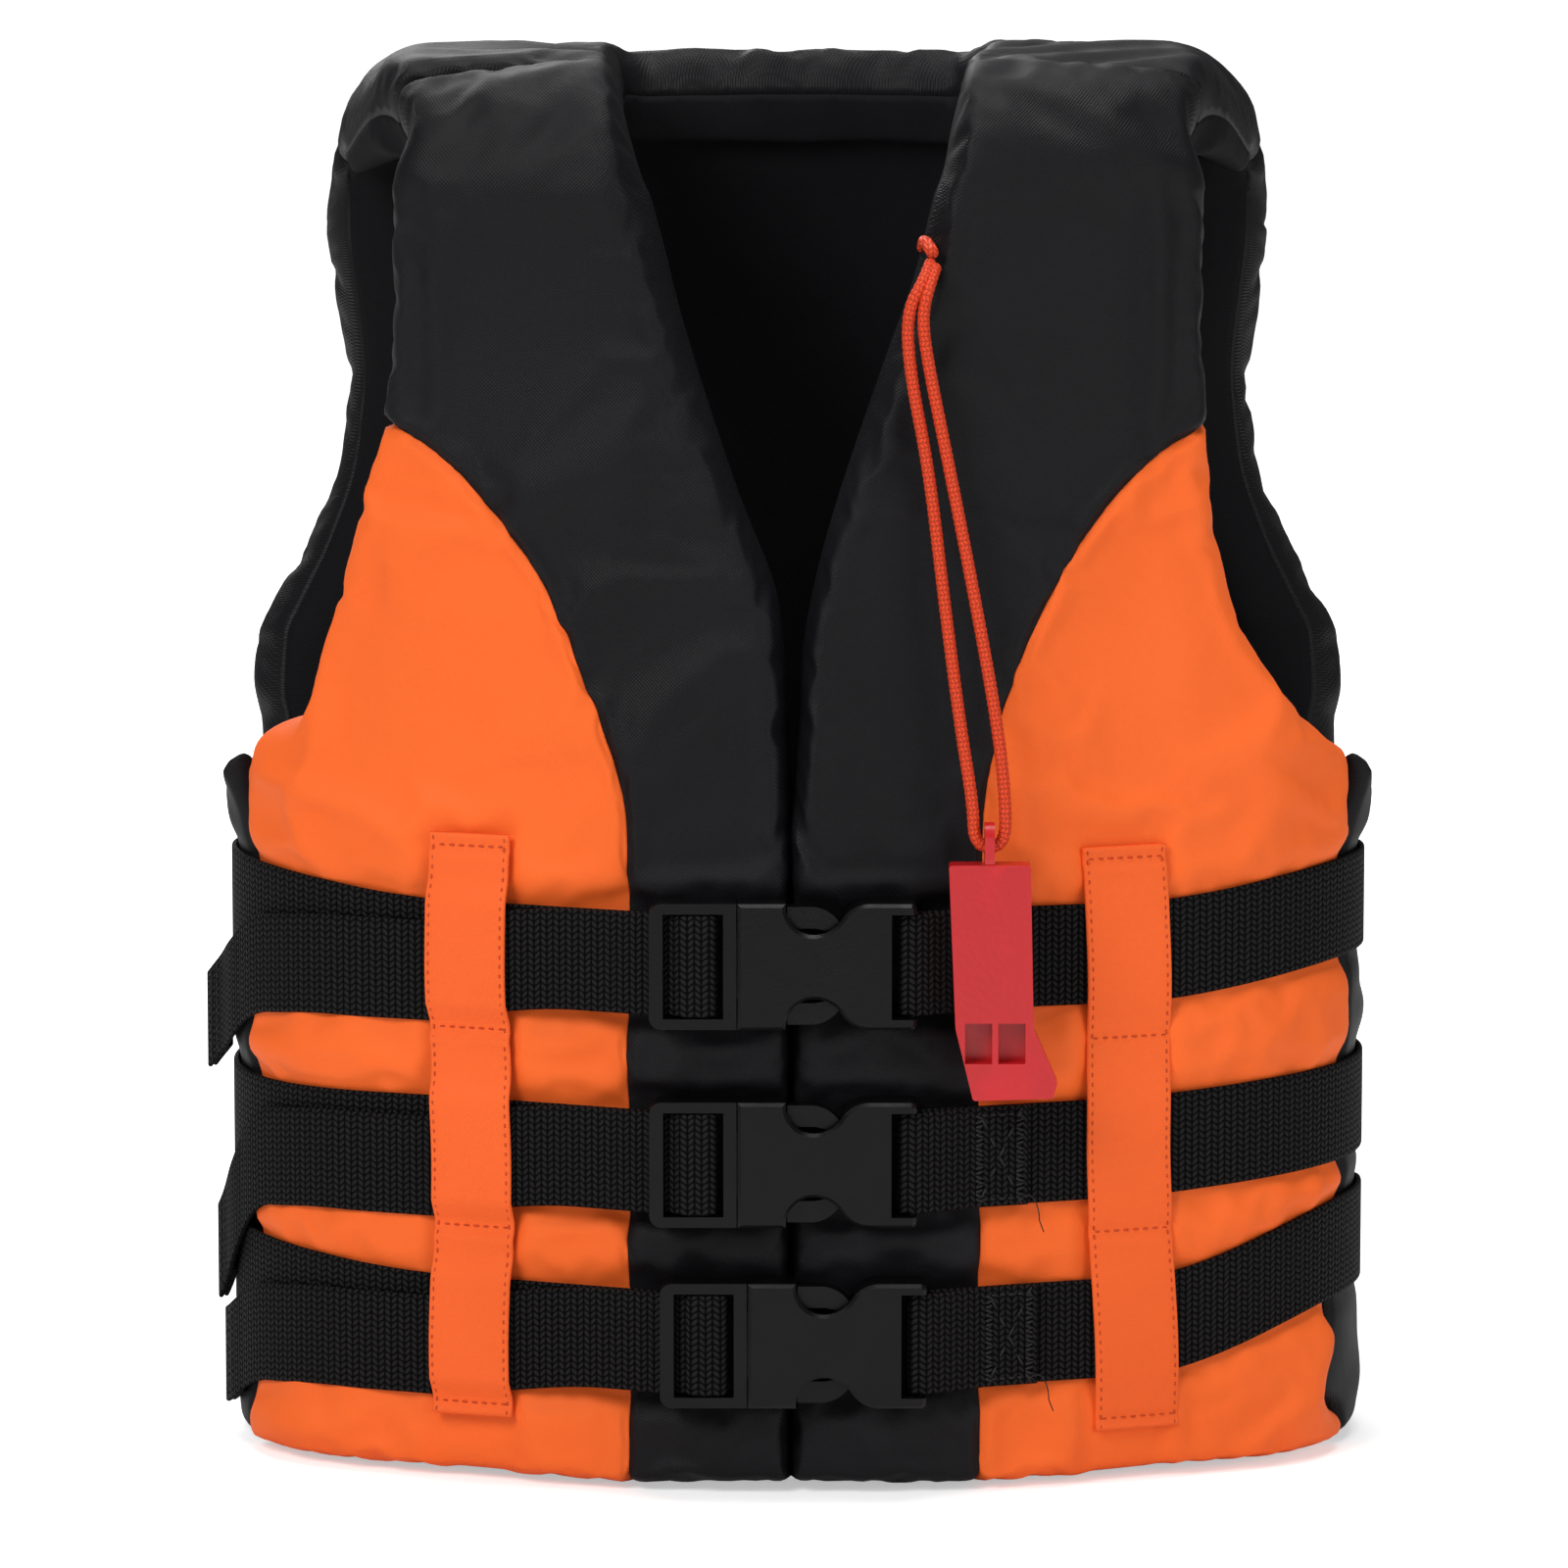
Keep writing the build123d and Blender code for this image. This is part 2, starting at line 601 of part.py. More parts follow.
with BuildPart() as cord:
    with BuildLine() as route:
        FilletPolyline(*ROUTE, radius=radii)
    line = route.wire()
    with BuildSketch(Plane(origin=line @ 0, z_dir=line % 0)):
        Circle(CORD_DIAMETER / 2)
    sweep(path=line)
section = pi * (CORD_DIAMETER / 2) ** 2
print("cord length", round(line.length, 1), "volume", round(cord.part.volume), round(section * line.length))
save(cord.part, "whistle_cord")
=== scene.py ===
import math

import bpy
import numpy as np
from bpy.props import FloatProperty, FloatVectorProperty, IntProperty, PointerProperty
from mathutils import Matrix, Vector
from mathutils.geometry import delaunay_2d_cdt


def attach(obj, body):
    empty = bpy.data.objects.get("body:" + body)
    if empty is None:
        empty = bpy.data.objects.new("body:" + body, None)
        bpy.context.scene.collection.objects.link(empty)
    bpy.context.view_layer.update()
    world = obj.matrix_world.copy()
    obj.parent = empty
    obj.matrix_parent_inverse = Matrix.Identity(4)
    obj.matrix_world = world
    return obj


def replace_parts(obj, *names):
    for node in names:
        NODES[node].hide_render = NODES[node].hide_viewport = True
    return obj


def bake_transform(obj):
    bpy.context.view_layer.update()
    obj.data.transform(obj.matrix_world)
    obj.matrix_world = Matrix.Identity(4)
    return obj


bl_info = {
    "name": "Life jacket",
    "version": (1, 0, 0),
    "blender": (4, 5, 0),
    "location": "View3D > Sidebar > Life jacket",
    "description": "Builds a child's foam life jacket over its packed frame",
    "category": "Object",
}

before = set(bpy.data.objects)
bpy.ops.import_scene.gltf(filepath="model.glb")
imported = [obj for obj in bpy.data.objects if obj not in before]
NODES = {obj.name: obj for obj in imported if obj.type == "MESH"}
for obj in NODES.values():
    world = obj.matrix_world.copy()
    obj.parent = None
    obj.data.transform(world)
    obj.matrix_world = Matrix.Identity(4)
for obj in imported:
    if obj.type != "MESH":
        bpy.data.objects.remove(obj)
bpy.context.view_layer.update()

# ---- The jacket's plan and fold, in millimetres about the middle of its panels ----
MIDDLE_Y = 5.0
FRONT_R, FRONT_C = 231.444, 151.444
SIDE_R, SIDE_C = 62.0, 76.0
JOIN = math.atan2(SIDE_C, FRONT_C)
SIDE_START = FRONT_R * JOIN
SIDE_END = SIDE_START + SIDE_R * (math.pi - 2 * JOIN)
FOLD_Z, FOLD_R = 315.0, 30.0
HALF_THICK = 12.0
LEVELS = {"top": (133.0, -1.0), "middle": (84.0, -1.0), "bottom": (39.0, 1.5)}
SIDES = {"left": 1, "right": -1}


class JacketSizes(bpy.types.PropertyGroup):
    """Sizes of the jacket's soft parts."""

    spacing: FloatProperty(
        name="Cloth spacing", description="Distance between points of the cloth", default=0.0034,
        min=0.001, unit="LENGTH",
    )
    cover: FloatProperty(
        name="Cover thickness", description="Thickness of the sewn covers", default=0.0007,
        min=0.0001, unit="LENGTH",
    )
    bulge: FloatProperty(
        name="Bulge", description="How far the panels swell between the belts", default=0.0024,
        min=0.0, unit="LENGTH",
    )
    slack: FloatProperty(
        name="Slack", description="Extra cloth in the covers, as a share of their size",
        default=0.045, min=0.0, max=0.2, subtype="FACTOR",
    )
    steps: IntProperty(
        name="Cloth steps", description="Steps that the cloth takes to settle", default=20, min=1,
    )
    web_width: FloatProperty(
        name="Webbing width", description="Width of the belts", default=0.025, unit="LENGTH",
    )
    web_thick: FloatProperty(
        name="Webbing thickness", description="Thickness of the belts", default=0.0015, unit="LENGTH",
    )
    tape_thick: FloatProperty(
        name="Tape thickness", description="Thickness of the loop strips", default=0.0012, unit="LENGTH",
    )
    stitch: FloatProperty(
        name="Stitch pitch", description="Distance from stitch to stitch", default=0.0024, unit="LENGTH",
    )
    cord: FloatProperty(
        name="Cord diameter", description="Diameter of the whistle cord", default=0.003, unit="LENGTH",
    )


def colour(name, text, value):
    """A colour that a user may change."""
    return FloatVectorProperty(
        name=name, description=text, default=value, size=3, min=0, max=1, subtype="COLOR"
    )


class JacketColours(bpy.types.PropertyGroup):
    """Colours of the jacket's finishes."""

    orange: colour("Orange cloth", "Colour of the side panels", (1.0, 0.155, 0.022))
    tape: colour("Orange tape", "Colour of the loop strips", (0.98, 0.142, 0.025))
    black: colour("Black cloth", "Colour of the black panels", (0.0047, 0.0045, 0.0056))
    lining: colour("Lining", "Colour of the lining", (0.0035, 0.0035, 0.0045))
    webbing: colour("Webbing", "Colour of the belts", (0.0066, 0.0063, 0.0066))
    plastic: colour("Buckles", "Colour of the buckles", (0.002, 0.002, 0.0026))
    whistle: colour("Whistle", "Colour of the whistle", (0.56, 0.008, 0.013))
    cord: colour("Cord", "Colour of the whistle cord", (0.9, 0.07, 0.016))
    thread: colour("Orange thread", "Colour of the stitches on the strips", (0.78, 0.085, 0.014))
    foam: colour("Foam", "Colour of the foam", (0.72, 0.7, 0.64))
    floor: colour("Floor", "Colour of the floor", (0.93, 0.93, 0.93))


# ---- Shader helpers ----
def add_node(tree, kind, inputs=(), **settings):
    """One shader node with its settings, and its inputs as values or as sockets to link."""
    made = tree.nodes.new("ShaderNode" + kind)
    for key, value in settings.items():
        setattr(made, key, value)
    for key, value in dict(inputs).items():
        if isinstance(value, bpy.types.NodeSocket):
            tree.links.new(value, made.inputs[key])
        else:
            made.inputs[key].default_value = value
    return made


def maths(tree, operation, a, b=0.0, c=0.0):
    """Result of one Math node."""
    return add_node(tree, "Math", {0: a, 1: b, 2: c}, operation=operation).outputs[0]


def remap(tree, value, low, high, to_low, to_high):
    """A value moved smoothly from one range to another."""
    made = add_node(
        tree, "MapRange", {0: value, 1: low, 2: high, 3: to_low, 4: to_high},
        interpolation_type="SMOOTHSTEP",
    )
    return made.outputs[0]


def mix_colour(tree, factor, a, b):
    """Colour between a and b."""
    made = add_node(tree, "Mix", data_type="RGBA")
    for socket, value in ((made.inputs[0], factor), (made.inputs[6], a), (made.inputs[7], b)):
        if isinstance(value, bpy.types.NodeSocket):
            tree.links.new(value, socket)
        else:
            socket.default_value = value
    return made.outputs[2]


def distance(tree, place):
    """How far a point is from the object's origin."""
    made = add_node(tree, "VectorMath", {0: place}, operation="LENGTH")
    return made.outputs["Value"]


def new_group(name, inputs, outputs):
    """An empty shader group with its sockets, and its input and output nodes."""
    tree = bpy.data.node_groups.new(name, "ShaderNodeTree")
    for label, kind, value in inputs:
        socket = tree.interface.new_socket(label, in_out="INPUT", socket_type=kind)
        socket.default_value = value
    for label, kind in outputs:
        tree.interface.new_socket(label, in_out="OUTPUT", socket_type=kind)
    return tree, tree.nodes.new("NodeGroupInput").outputs, tree.nodes.new("NodeGroupOutput").inputs


FLOAT, RGBA = "NodeSocketFloat", "NodeSocketColor"


def cloth_group():
    """Plain weave with creases and slight changes of tone, for the covers and the tape."""
    tree, given, out = new_group(
        "Woven cloth",
        [("Colour", RGBA, (1, 1, 1, 1)), ("Shade", RGBA, (0.8, 0.8, 0.8, 1)), ("Thread", FLOAT, 0.0006),
         ("Tone", FLOAT, 0.5), ("Roughness", FLOAT, 0.5)],
        [("Colour", RGBA), ("Roughness", FLOAT), ("Weave", FLOAT), ("Crease", FLOAT)],
    )
    place = add_node(tree, "TexCoord")
    split = add_node(tree, "SeparateXYZ", {0: place.outputs["UV"]})
    turn = maths(tree, "DIVIDE", 2 * math.pi, given["Thread"])
    warp = maths(tree, "SINE", maths(tree, "MULTIPLY", split.outputs[0], turn))
    weft = maths(tree, "SINE", maths(tree, "MULTIPLY", split.outputs[1], turn))
    weave = maths(tree, "MULTIPLY_ADD", maths(tree, "MULTIPLY", warp, weft), 0.5, 0.5)
    slub = add_node(
        tree, "TexNoise", {"Vector": place.outputs["Object"], "Scale": 900.0, "Detail": 2.0}
    ).outputs[0]
    weave = maths(tree, "MULTIPLY_ADD", slub, 0.6, weave)
    broad = add_node(
        tree, "TexNoise", {"Vector": place.outputs["Object"], "Scale": 14.0, "Detail": 3.0}
    ).outputs[0]
    crease = add_node(
        tree, "TexNoise",
        {"Vector": place.outputs["Object"], "Scale": 34.0, "Detail": 3.0, "Distortion": 0.9},
    ).outputs[0]
    tone = maths(tree, "MULTIPLY", remap(tree, broad, 0.3, 0.75, 0.0, 1.0), given["Tone"])
    fine = maths(tree, "MULTIPLY", remap(tree, weave, 0.1, 0.9, 0.35, 0.0), given["Tone"])
    share = maths(tree, "ADD", tone, fine)
    tree.links.new(mix_colour(tree, share, given["Colour"], given["Shade"]), out["Colour"])
    tree.links.new(
        maths(tree, "ADD", given["Roughness"], remap(tree, broad, 0.3, 0.7, -0.05, 0.06)), out["Roughness"]
    )
    tree.links.new(weave, out["Weave"])
    tree.links.new(crease, out["Crease"])
    return tree


def webbing_group():
    """Ribbed webbing: columns of slanted knots across its width, with a painted highlight on the knots' tops
    and painted shade in the hollows between them.
    """
    tree, given, out = new_group(
        "Ribbed webbing",
        [("Colour", RGBA, (1, 1, 1, 1)), ("Shade", RGBA, (0, 0, 0, 1)), ("Rib", FLOAT, 0.0017),
         ("Knot", FLOAT, 0.0016), ("Roughness", FLOAT, 0.6)],
        [("Colour", RGBA), ("Roughness", FLOAT), ("Height", FLOAT)],
    )
    place = add_node(tree, "TexCoord")
    split = add_node(tree, "SeparateXYZ", {0: place.outputs["UV"]})
    along = maths(tree, "DIVIDE", split.outputs[0], given["Rib"])
    column = maths(tree, "FRACT", along)
    even = maths(tree, "PINGPONG", maths(tree, "FLOOR", along), 1.0)
    lean = maths(tree, "MULTIPLY_ADD", even, 2.0, -1.0)
    lean = maths(tree, "MULTIPLY", lean, 0.7)
    slant = maths(tree, "MULTIPLY", maths(tree, "SUBTRACT", column, 0.5), lean)
    across = maths(tree, "ADD", maths(tree, "DIVIDE", split.outputs[1], given["Knot"]), slant)
    rib = maths(tree, "SINE", maths(tree, "MULTIPLY", column, math.pi))
    knot = maths(tree, "ABSOLUTE", maths(tree, "SINE", maths(tree, "MULTIPLY", across, math.pi)))
    round_rib = maths(tree, "POWER", rib, 0.6)
    height = maths(tree, "MULTIPLY", round_rib, maths(tree, "MULTIPLY_ADD", knot, 0.8, 0.2))
    fuzz = add_node(
        tree, "TexNoise", {"Vector": place.outputs["Object"], "Scale": 1500.0, "Detail": 2.0}
    ).outputs[0]
    height = maths(tree, "MULTIPLY_ADD", fuzz, 0.12, height)
    # Painted light and shade: where the knots stand high the colour is the lit Colour, and in the hollows
    # between them it is the painted shade, Shade.
    high = remap(tree, height, 0.25, 0.95, 0.0, 1.0)
    tree.links.new(mix_colour(tree, high, given["Shade"], given["Colour"]), out["Colour"])
    tree.links.new(
        maths(tree, "ADD", given["Roughness"], remap(tree, height, 0.2, 1.0, 0.2, -0.08)), out["Roughness"]
    )
    tree.links.new(height, out["Height"])
    return tree


def moulded_group():
    """Moulded plastic: fine grain, soft flow marks and a little dust."""
    tree, given, out = new_group(
        "Moulded plastic",
        [("Colour", RGBA, (1, 1, 1, 1)), ("Worn", RGBA, (1, 1, 1, 1)), ("Grain", FLOAT, 1800.0),
         ("Roughness", FLOAT, 0.4)],
        [("Colour", RGBA), ("Roughness", FLOAT), ("Height", FLOAT)],
    )
    place = add_node(tree, "TexCoord").outputs["Object"]
    grain = add_node(tree, "TexNoise", {"Vector": place, "Scale": given["Grain"], "Detail": 2.0}).outputs[0]
    flow = add_node(
        tree, "TexNoise", {"Vector": place, "Scale": 70.0, "Detail": 4.0, "Distortion": 0.6}
    ).outputs[0]
    wear = remap(tree, flow, 0.52, 0.78, 0.0, 0.6)
    tree.links.new(mix_colour(tree, wear, given["Colour"], given["Worn"]), out["Colour"])
    rough = maths(tree, "ADD", given["Roughness"], remap(tree, flow, 0.3, 0.7, -0.05, 0.08))
    tree.links.new(maths(tree, "MULTIPLY_ADD", grain, 0.05, rough), out["Roughness"])
    tree.links.new(maths(tree, "MULTIPLY_ADD", flow, 0.5, grain), out["Height"])
    return tree


def group_once(name, build):
    """The named shader group, built the first time that it is asked for."""
    return bpy.data.node_groups.get(name) or build()


def surface(name, fixed):
    """A material's tree with its Principled BSDF, whose plain sockets are set from fixed."""
    material = bpy.data.materials.new(f"jacket_{name}")
    material.use_nodes = True
    tree = material.node_tree
    shader = tree.nodes["Principled BSDF"]
    for key, value in fixed.items():
        shader.inputs[key].default_value = value
    return material, tree, shader


def bump(tree, shader, heights):
    """One Bump node per (height, distance), chained into the shader's normal."""
    normal = None
    for height, distance in heights:
        made = add_node(tree, "Bump", {"Height": height, "Distance": distance, "Strength": 1.0})
        if normal is not None:
            tree.links.new(normal, made.inputs["Normal"])
        normal = made.outputs[0]
    tree.links.new(normal, shader.inputs["Normal"])


def grouped_material(name, group_name, build, values, fixed):
    """Material whose colour and roughness come from a shader group, and that group's node."""
    material, tree, shader = surface(name, fixed)
    group = add_node(tree, "Group", node_tree=group_once(group_name, build))
    for key, value in values.items():
        group.inputs[key].default_value = value
    tree.links.new(group.outputs["Colour"], shader.inputs["Base Color"])
    tree.links.new(group.outputs["Roughness"], shader.inputs["Roughness"])
    return material, tree, shader, group


def cloth_material(name, base, shade, rough, thread, tone, specular, weave, crease):
    """Cloth finish: weave and crease are the heights of its relief."""
    material, tree, shader, group = grouped_material(
        name, "Woven cloth", cloth_group,
        {"Colour": (*base, 1), "Shade": (*scaled(base, shade), 1), "Thread": thread, "Tone": tone,
         "Roughness": rough},
        {"Specular IOR Level": specular},
    )
    bump(tree, shader, [(group.outputs["Crease"], crease), (group.outputs["Weave"], weave)])
    return material


def ribbed_material(name, base, ribs, between, rib, knot, rough, specular, relief):
    """Webbing, braid or thread finish: shares of the colour on its ribs and between them, which paint a
    highlight on the ribs' tops and shade between them.
    """
    material, tree, shader, group = grouped_material(
        name, "Ribbed webbing", webbing_group,
        {"Colour": (*scaled(base, ribs), 1), "Shade": (*scaled(base, between), 1), "Rib": rib,
         "Knot": knot, "Roughness": rough},
        {"Specular IOR Level": specular},
    )
    bump(tree, shader, [(group.outputs["Height"], relief)])
    return material


def moulded_material(name, base, worn, grain, relief, fixed):
    """Plastic finish."""
    material, tree, shader, group = grouped_material(
        name, "Moulded plastic", moulded_group,
        {"Colour": (*base, 1), "Worn": (*scaled(base, worn), 1), "Grain": grain, "Roughness": 0.3},
        fixed,
    )
    bump(tree, shader, [(group.outputs["Height"], relief)])
    return material


def scaled(value, share):
    """A colour with each channel multiplied."""
    return tuple(min(1.0, channel * share) for channel in value)


def finish_of(name):
    """The named material, made the first time that a piece needs it."""
    found = bpy.data.materials.get(f"jacket_{name}")
    if found:
        return found
    c = bpy.context.scene.jacket_colours
    cloths = {
        "orange_cloth": (c.orange, 0.86, 0.62, 0.00075, 0.5, 0.22, 0.00004, 0.0006),
        "orange_tape": (c.tape, 0.85, 0.66, 0.0007, 0.5, 0.2, 0.00007, 0.0003),
        "black_cloth": (c.black, 1.7, 0.5, 0.0009, 0.8, 0.17, 0.00009, 0.0006),
        "lining_cloth": (c.lining, 1.6, 0.8, 0.0009, 0.7, 0.12, 0.00006, 0.0008),
        "foam": (c.foam, 0.8, 0.9, 0.0011, 0.6, 0.1, 0.0001, 0.0003),
    }
    # Columns: colour, its share on the rib tops and its share between the ribs (painted highlight and painted
    # shade), rib, knot, roughness, specular, relief
    ribbed = {
        "webbing": (c.webbing, 2.4, 0.08, 0.0017, 0.0016, 0.6, 0.07, 0.0005),
        "cord_braid": (c.cord, 1.0, 0.55, 0.0012, 0.0012, 0.55, 0.3, 0.0002),
        "orange_thread": (c.thread, 1.0, 0.5, 0.0005, 0.0005, 0.5, 0.3, 0.00005),
        "black_thread": (c.webbing, 2.6, 1.0, 0.0005, 0.0005, 0.5, 0.35, 0.00005),
    }
    moulded = {
        "buckle_plastic": (c.plastic, 1.5, 1500.0, 0.00005, {"Specular IOR Level": 0.24}),
        "whistle_plastic": (
            c.whistle, 1.25, 500.0, 0.00008,
            {"Specular IOR Level": 0.5, "Subsurface Weight": 0.15, "Subsurface Scale": 0.004,
             "Coat Weight": 0.25, "Coat Roughness": 0.2},
        ),
    }
    for table, make in ((cloths, cloth_material), (ribbed, ribbed_material), (moulded, moulded_material)):
        if name in table:
            return make(name, *table[name])
    raise ValueError(f"no finish is named {name}")


# ---- Shape helpers ----
def smoothstep(value, low, high):
    """0 below low, 1 above high, and smooth between."""
    share = np.clip((value - low) / (high - low), 0, 1)
    return share * share * (3 - 2 * share)


def on_wall(points, depth, back=False):
    """Places (girth, height) points on the panels' wall and shoulder fold, depth outside it."""
    u, t = points[:, 0], points[:, 1]
    a = np.abs(u)
    side = (a >= SIDE_START) & (a < SIDE_END)
    turn = np.where(
        a < SIDE_START, a / FRONT_R,
        np.where(side, JOIN + (a - SIDE_START) / SIDE_R, math.pi - JOIN + (a - SIDE_END) / FRONT_R),
    )
    lean = np.clip((t - FOLD_Z) / FOLD_R, 0, math.pi / 2)
    inset = FOLD_R * (1 - np.cos(lean)) + np.maximum(0, t - FOLD_Z - FOLD_R * math.pi / 2)
    radius = np.where(side, SIDE_R, FRONT_R) - inset + depth * np.cos(lean)
    x = (np.where(side, SIDE_C, 0) + radius * np.sin(turn)) * np.where(u < 0, -1, 1)
    y = np.where(side, 0, np.where(a < SIDE_START, FRONT_C, -FRONT_C)) - radius * np.cos(turn)
    z = np.minimum(t, FOLD_Z) + (FOLD_R + depth) * np.sin(lean)
    return np.stack([x, -y if back else y, z], 1)


def on_top(points, depth):
    """Places (x, y) points on top of the shoulders, depth outside them."""
    x, y = np.abs(points[:, 0]), points[:, 1]
    ahead = np.arctan2(x, FRONT_C + np.abs(y)) < JOIN
    dx = np.where(ahead, x, x - SIDE_C)
    dy = np.where(ahead, np.sign(y) * (FRONT_C + np.abs(y)), y)
    radius = np.hypot(dx, dy)
    inset = np.clip(np.where(ahead, FRONT_R, SIDE_R) - radius, 0, FOLD_R)
    lean = np.arccos(np.clip(1 - inset / FOLD_R, 0, 1))
    out = depth * np.cos(lean) / np.maximum(radius, 1)
    sign = np.where(points[:, 0] < 0, -1, 1)
    return np.stack([(x + dx * out) * sign, y + dy * out, FOLD_Z + (FOLD_R + depth) * np.sin(lean)], 1)


def wall_at(x, z):
    """(girth, height) of the front wall's point at x and z."""
    x = max(x, 0.0)
    lean = math.asin(min(1, max(0, (z - FOLD_Z) / FOLD_R)))
    inset = FOLD_R * (1 - math.cos(lean))
    if x < (FRONT_R - inset) * math.sin(JOIN):
        u = FRONT_R * math.asin(x / (FRONT_R - inset))
    else:
        u = SIDE_START + SIDE_R * (math.asin(min(1, (x - SIDE_C) / (SIDE_R - inset))) - JOIN)
    return u, (z if z < FOLD_Z else FOLD_Z + FOLD_R * lean)


def rim_at(x, z):
    """(girth, height) at which a panel's rolled edge shows at x and z."""
    u, t = wall_at(x, z)
    run = np.linspace(0, flank(24), 300)
    seen = on_wall(np.stack([run, np.full(300, min(t, FOLD_Z))], 1), -HALF_THICK)[:, 0]
    return min(u + 5.6, float(np.interp(x, seen, run))), t


def wall_over(x, y):
    """(girth, height) of the fold's point above x and y, y counted towards the panel's own side."""
    if math.atan2(x, FRONT_C + y) < JOIN:
        inset = FRONT_R - math.hypot(x, FRONT_C + y)
        u = FRONT_R * math.atan2(x, FRONT_C + y)
    else:
        inset = SIDE_R - math.hypot(x - SIDE_C, y)
        u = SIDE_START + SIDE_R * (math.atan2(x - SIDE_C, y) - JOIN)
    if inset < FOLD_R:
        return u, FOLD_Z + FOLD_R * math.acos(1 - max(0, inset) / FOLD_R)
    return u, FOLD_Z + FOLD_R * (math.pi / 2 - 1) + inset


def flank(y):
    """Girth of the side wall's point at y, counted towards the panel's own side."""
    return SIDE_START + SIDE_R * (math.acos(y / SIDE_R) - JOIN)


def spaced(points, step, rounded=True):
    """Points along a line through the given points, evenly spaced, on a smooth curve if rounded."""
    p = np.array(points, float)
    if rounded and len(p) > 2:
        ends = np.vstack([2 * p[0] - p[1], p, 2 * p[-1] - p[-2]])
        fine = []
        for a, b, c, d in zip(ends, ends[1:], ends[2:], ends[3:]):
            for k in np.linspace(0, 1, 12, endpoint=False):
                square, cube = 2 * a - 5 * b + 4 * c - d, 3 * b - a - 3 * c + d
                fine.append(0.5 * (2 * b + (c - a) * k + square * k**2 + cube * k**3))
        p = np.array(fine + [p[-1]])
    far = np.concatenate([[0], np.cumsum(np.linalg.norm(np.diff(p, axis=0), axis=1))])
    at = np.linspace(0, far[-1], max(2, round(far[-1] / step) + 1))
    return np.stack([np.interp(at, far, p[:, k]) for k in range(p.shape[1])], 1)


def rounded_line(corners, radii, step=0.6):
    """Straight runs with each inner corner turned on its own radius."""
    p = [np.array(c, float) for c in corners]
    line = [p[0]]
    for before, here, after, radius in zip(p, p[1:], p[2:], radii):
        a, b = before - here, after - here
        la, lb = np.linalg.norm(a), np.linalg.norm(b)
        a, b = a / la, b / lb
        half = math.acos(np.clip(a @ b, -1, 1)) / 2
        if half > 1.5:
            line.append(here)
            continue
        cut = min(radius / math.tan(half), 0.49 * la, 0.49 * lb)
        radius = cut * math.tan(half)
        centre = here + (a + b) / np.linalg.norm(a + b) * radius / math.sin(half)
        start, end = here + a * cut - centre, here + b * cut - centre
        sweep = math.pi - 2 * half
        for k in np.linspace(0, 1, max(3, int(sweep * radius / step) + 2)):
            blended = start * math.sin((1 - k) * sweep) + end * math.sin(k * sweep)
            line.append(centre + blended / math.sin(sweep))
    line.append(p[-1])
    return np.array(line)


def segment_distance(points, starts, ends):
    """Distance from each point to its nearest segment."""
    if len(starts) == 0:
        return np.full(len(points), 1e6)
    along = ends - starts
    length = np.maximum((along**2).sum(1), 1e-12)
    nearest = np.full(len(points), 1e9)
    for first in range(0, len(points), 2000):
        p = points[first:first + 2000, None, :]
        k = np.clip(((p - starts[None]) * along[None]).sum(2) / length[None], 0, 1)
        gap = p - (starts[None] + k[..., None] * along[None])
        nearest[first:first + 2000] = np.sqrt((gap**2).sum(2)).min(1)
    return nearest


def inside(points, ring):
    """Which points lie inside a closed ring."""
    x, y = points[:, 0], points[:, 1]
    found = np.zeros(len(points), bool)
    for (x0, y0), (x1, y1) in zip(ring, np.roll(ring, -1, axis=0)):
        if y0 != y1:
            found ^= ((y0 > y) != (y1 > y)) & (x < (x1 - x0) * (y - y0) / (y1 - y0) + x0)
    return found


ROLL_STEPS = [math.radians(a) for a in (20, 40, 60, 78)]


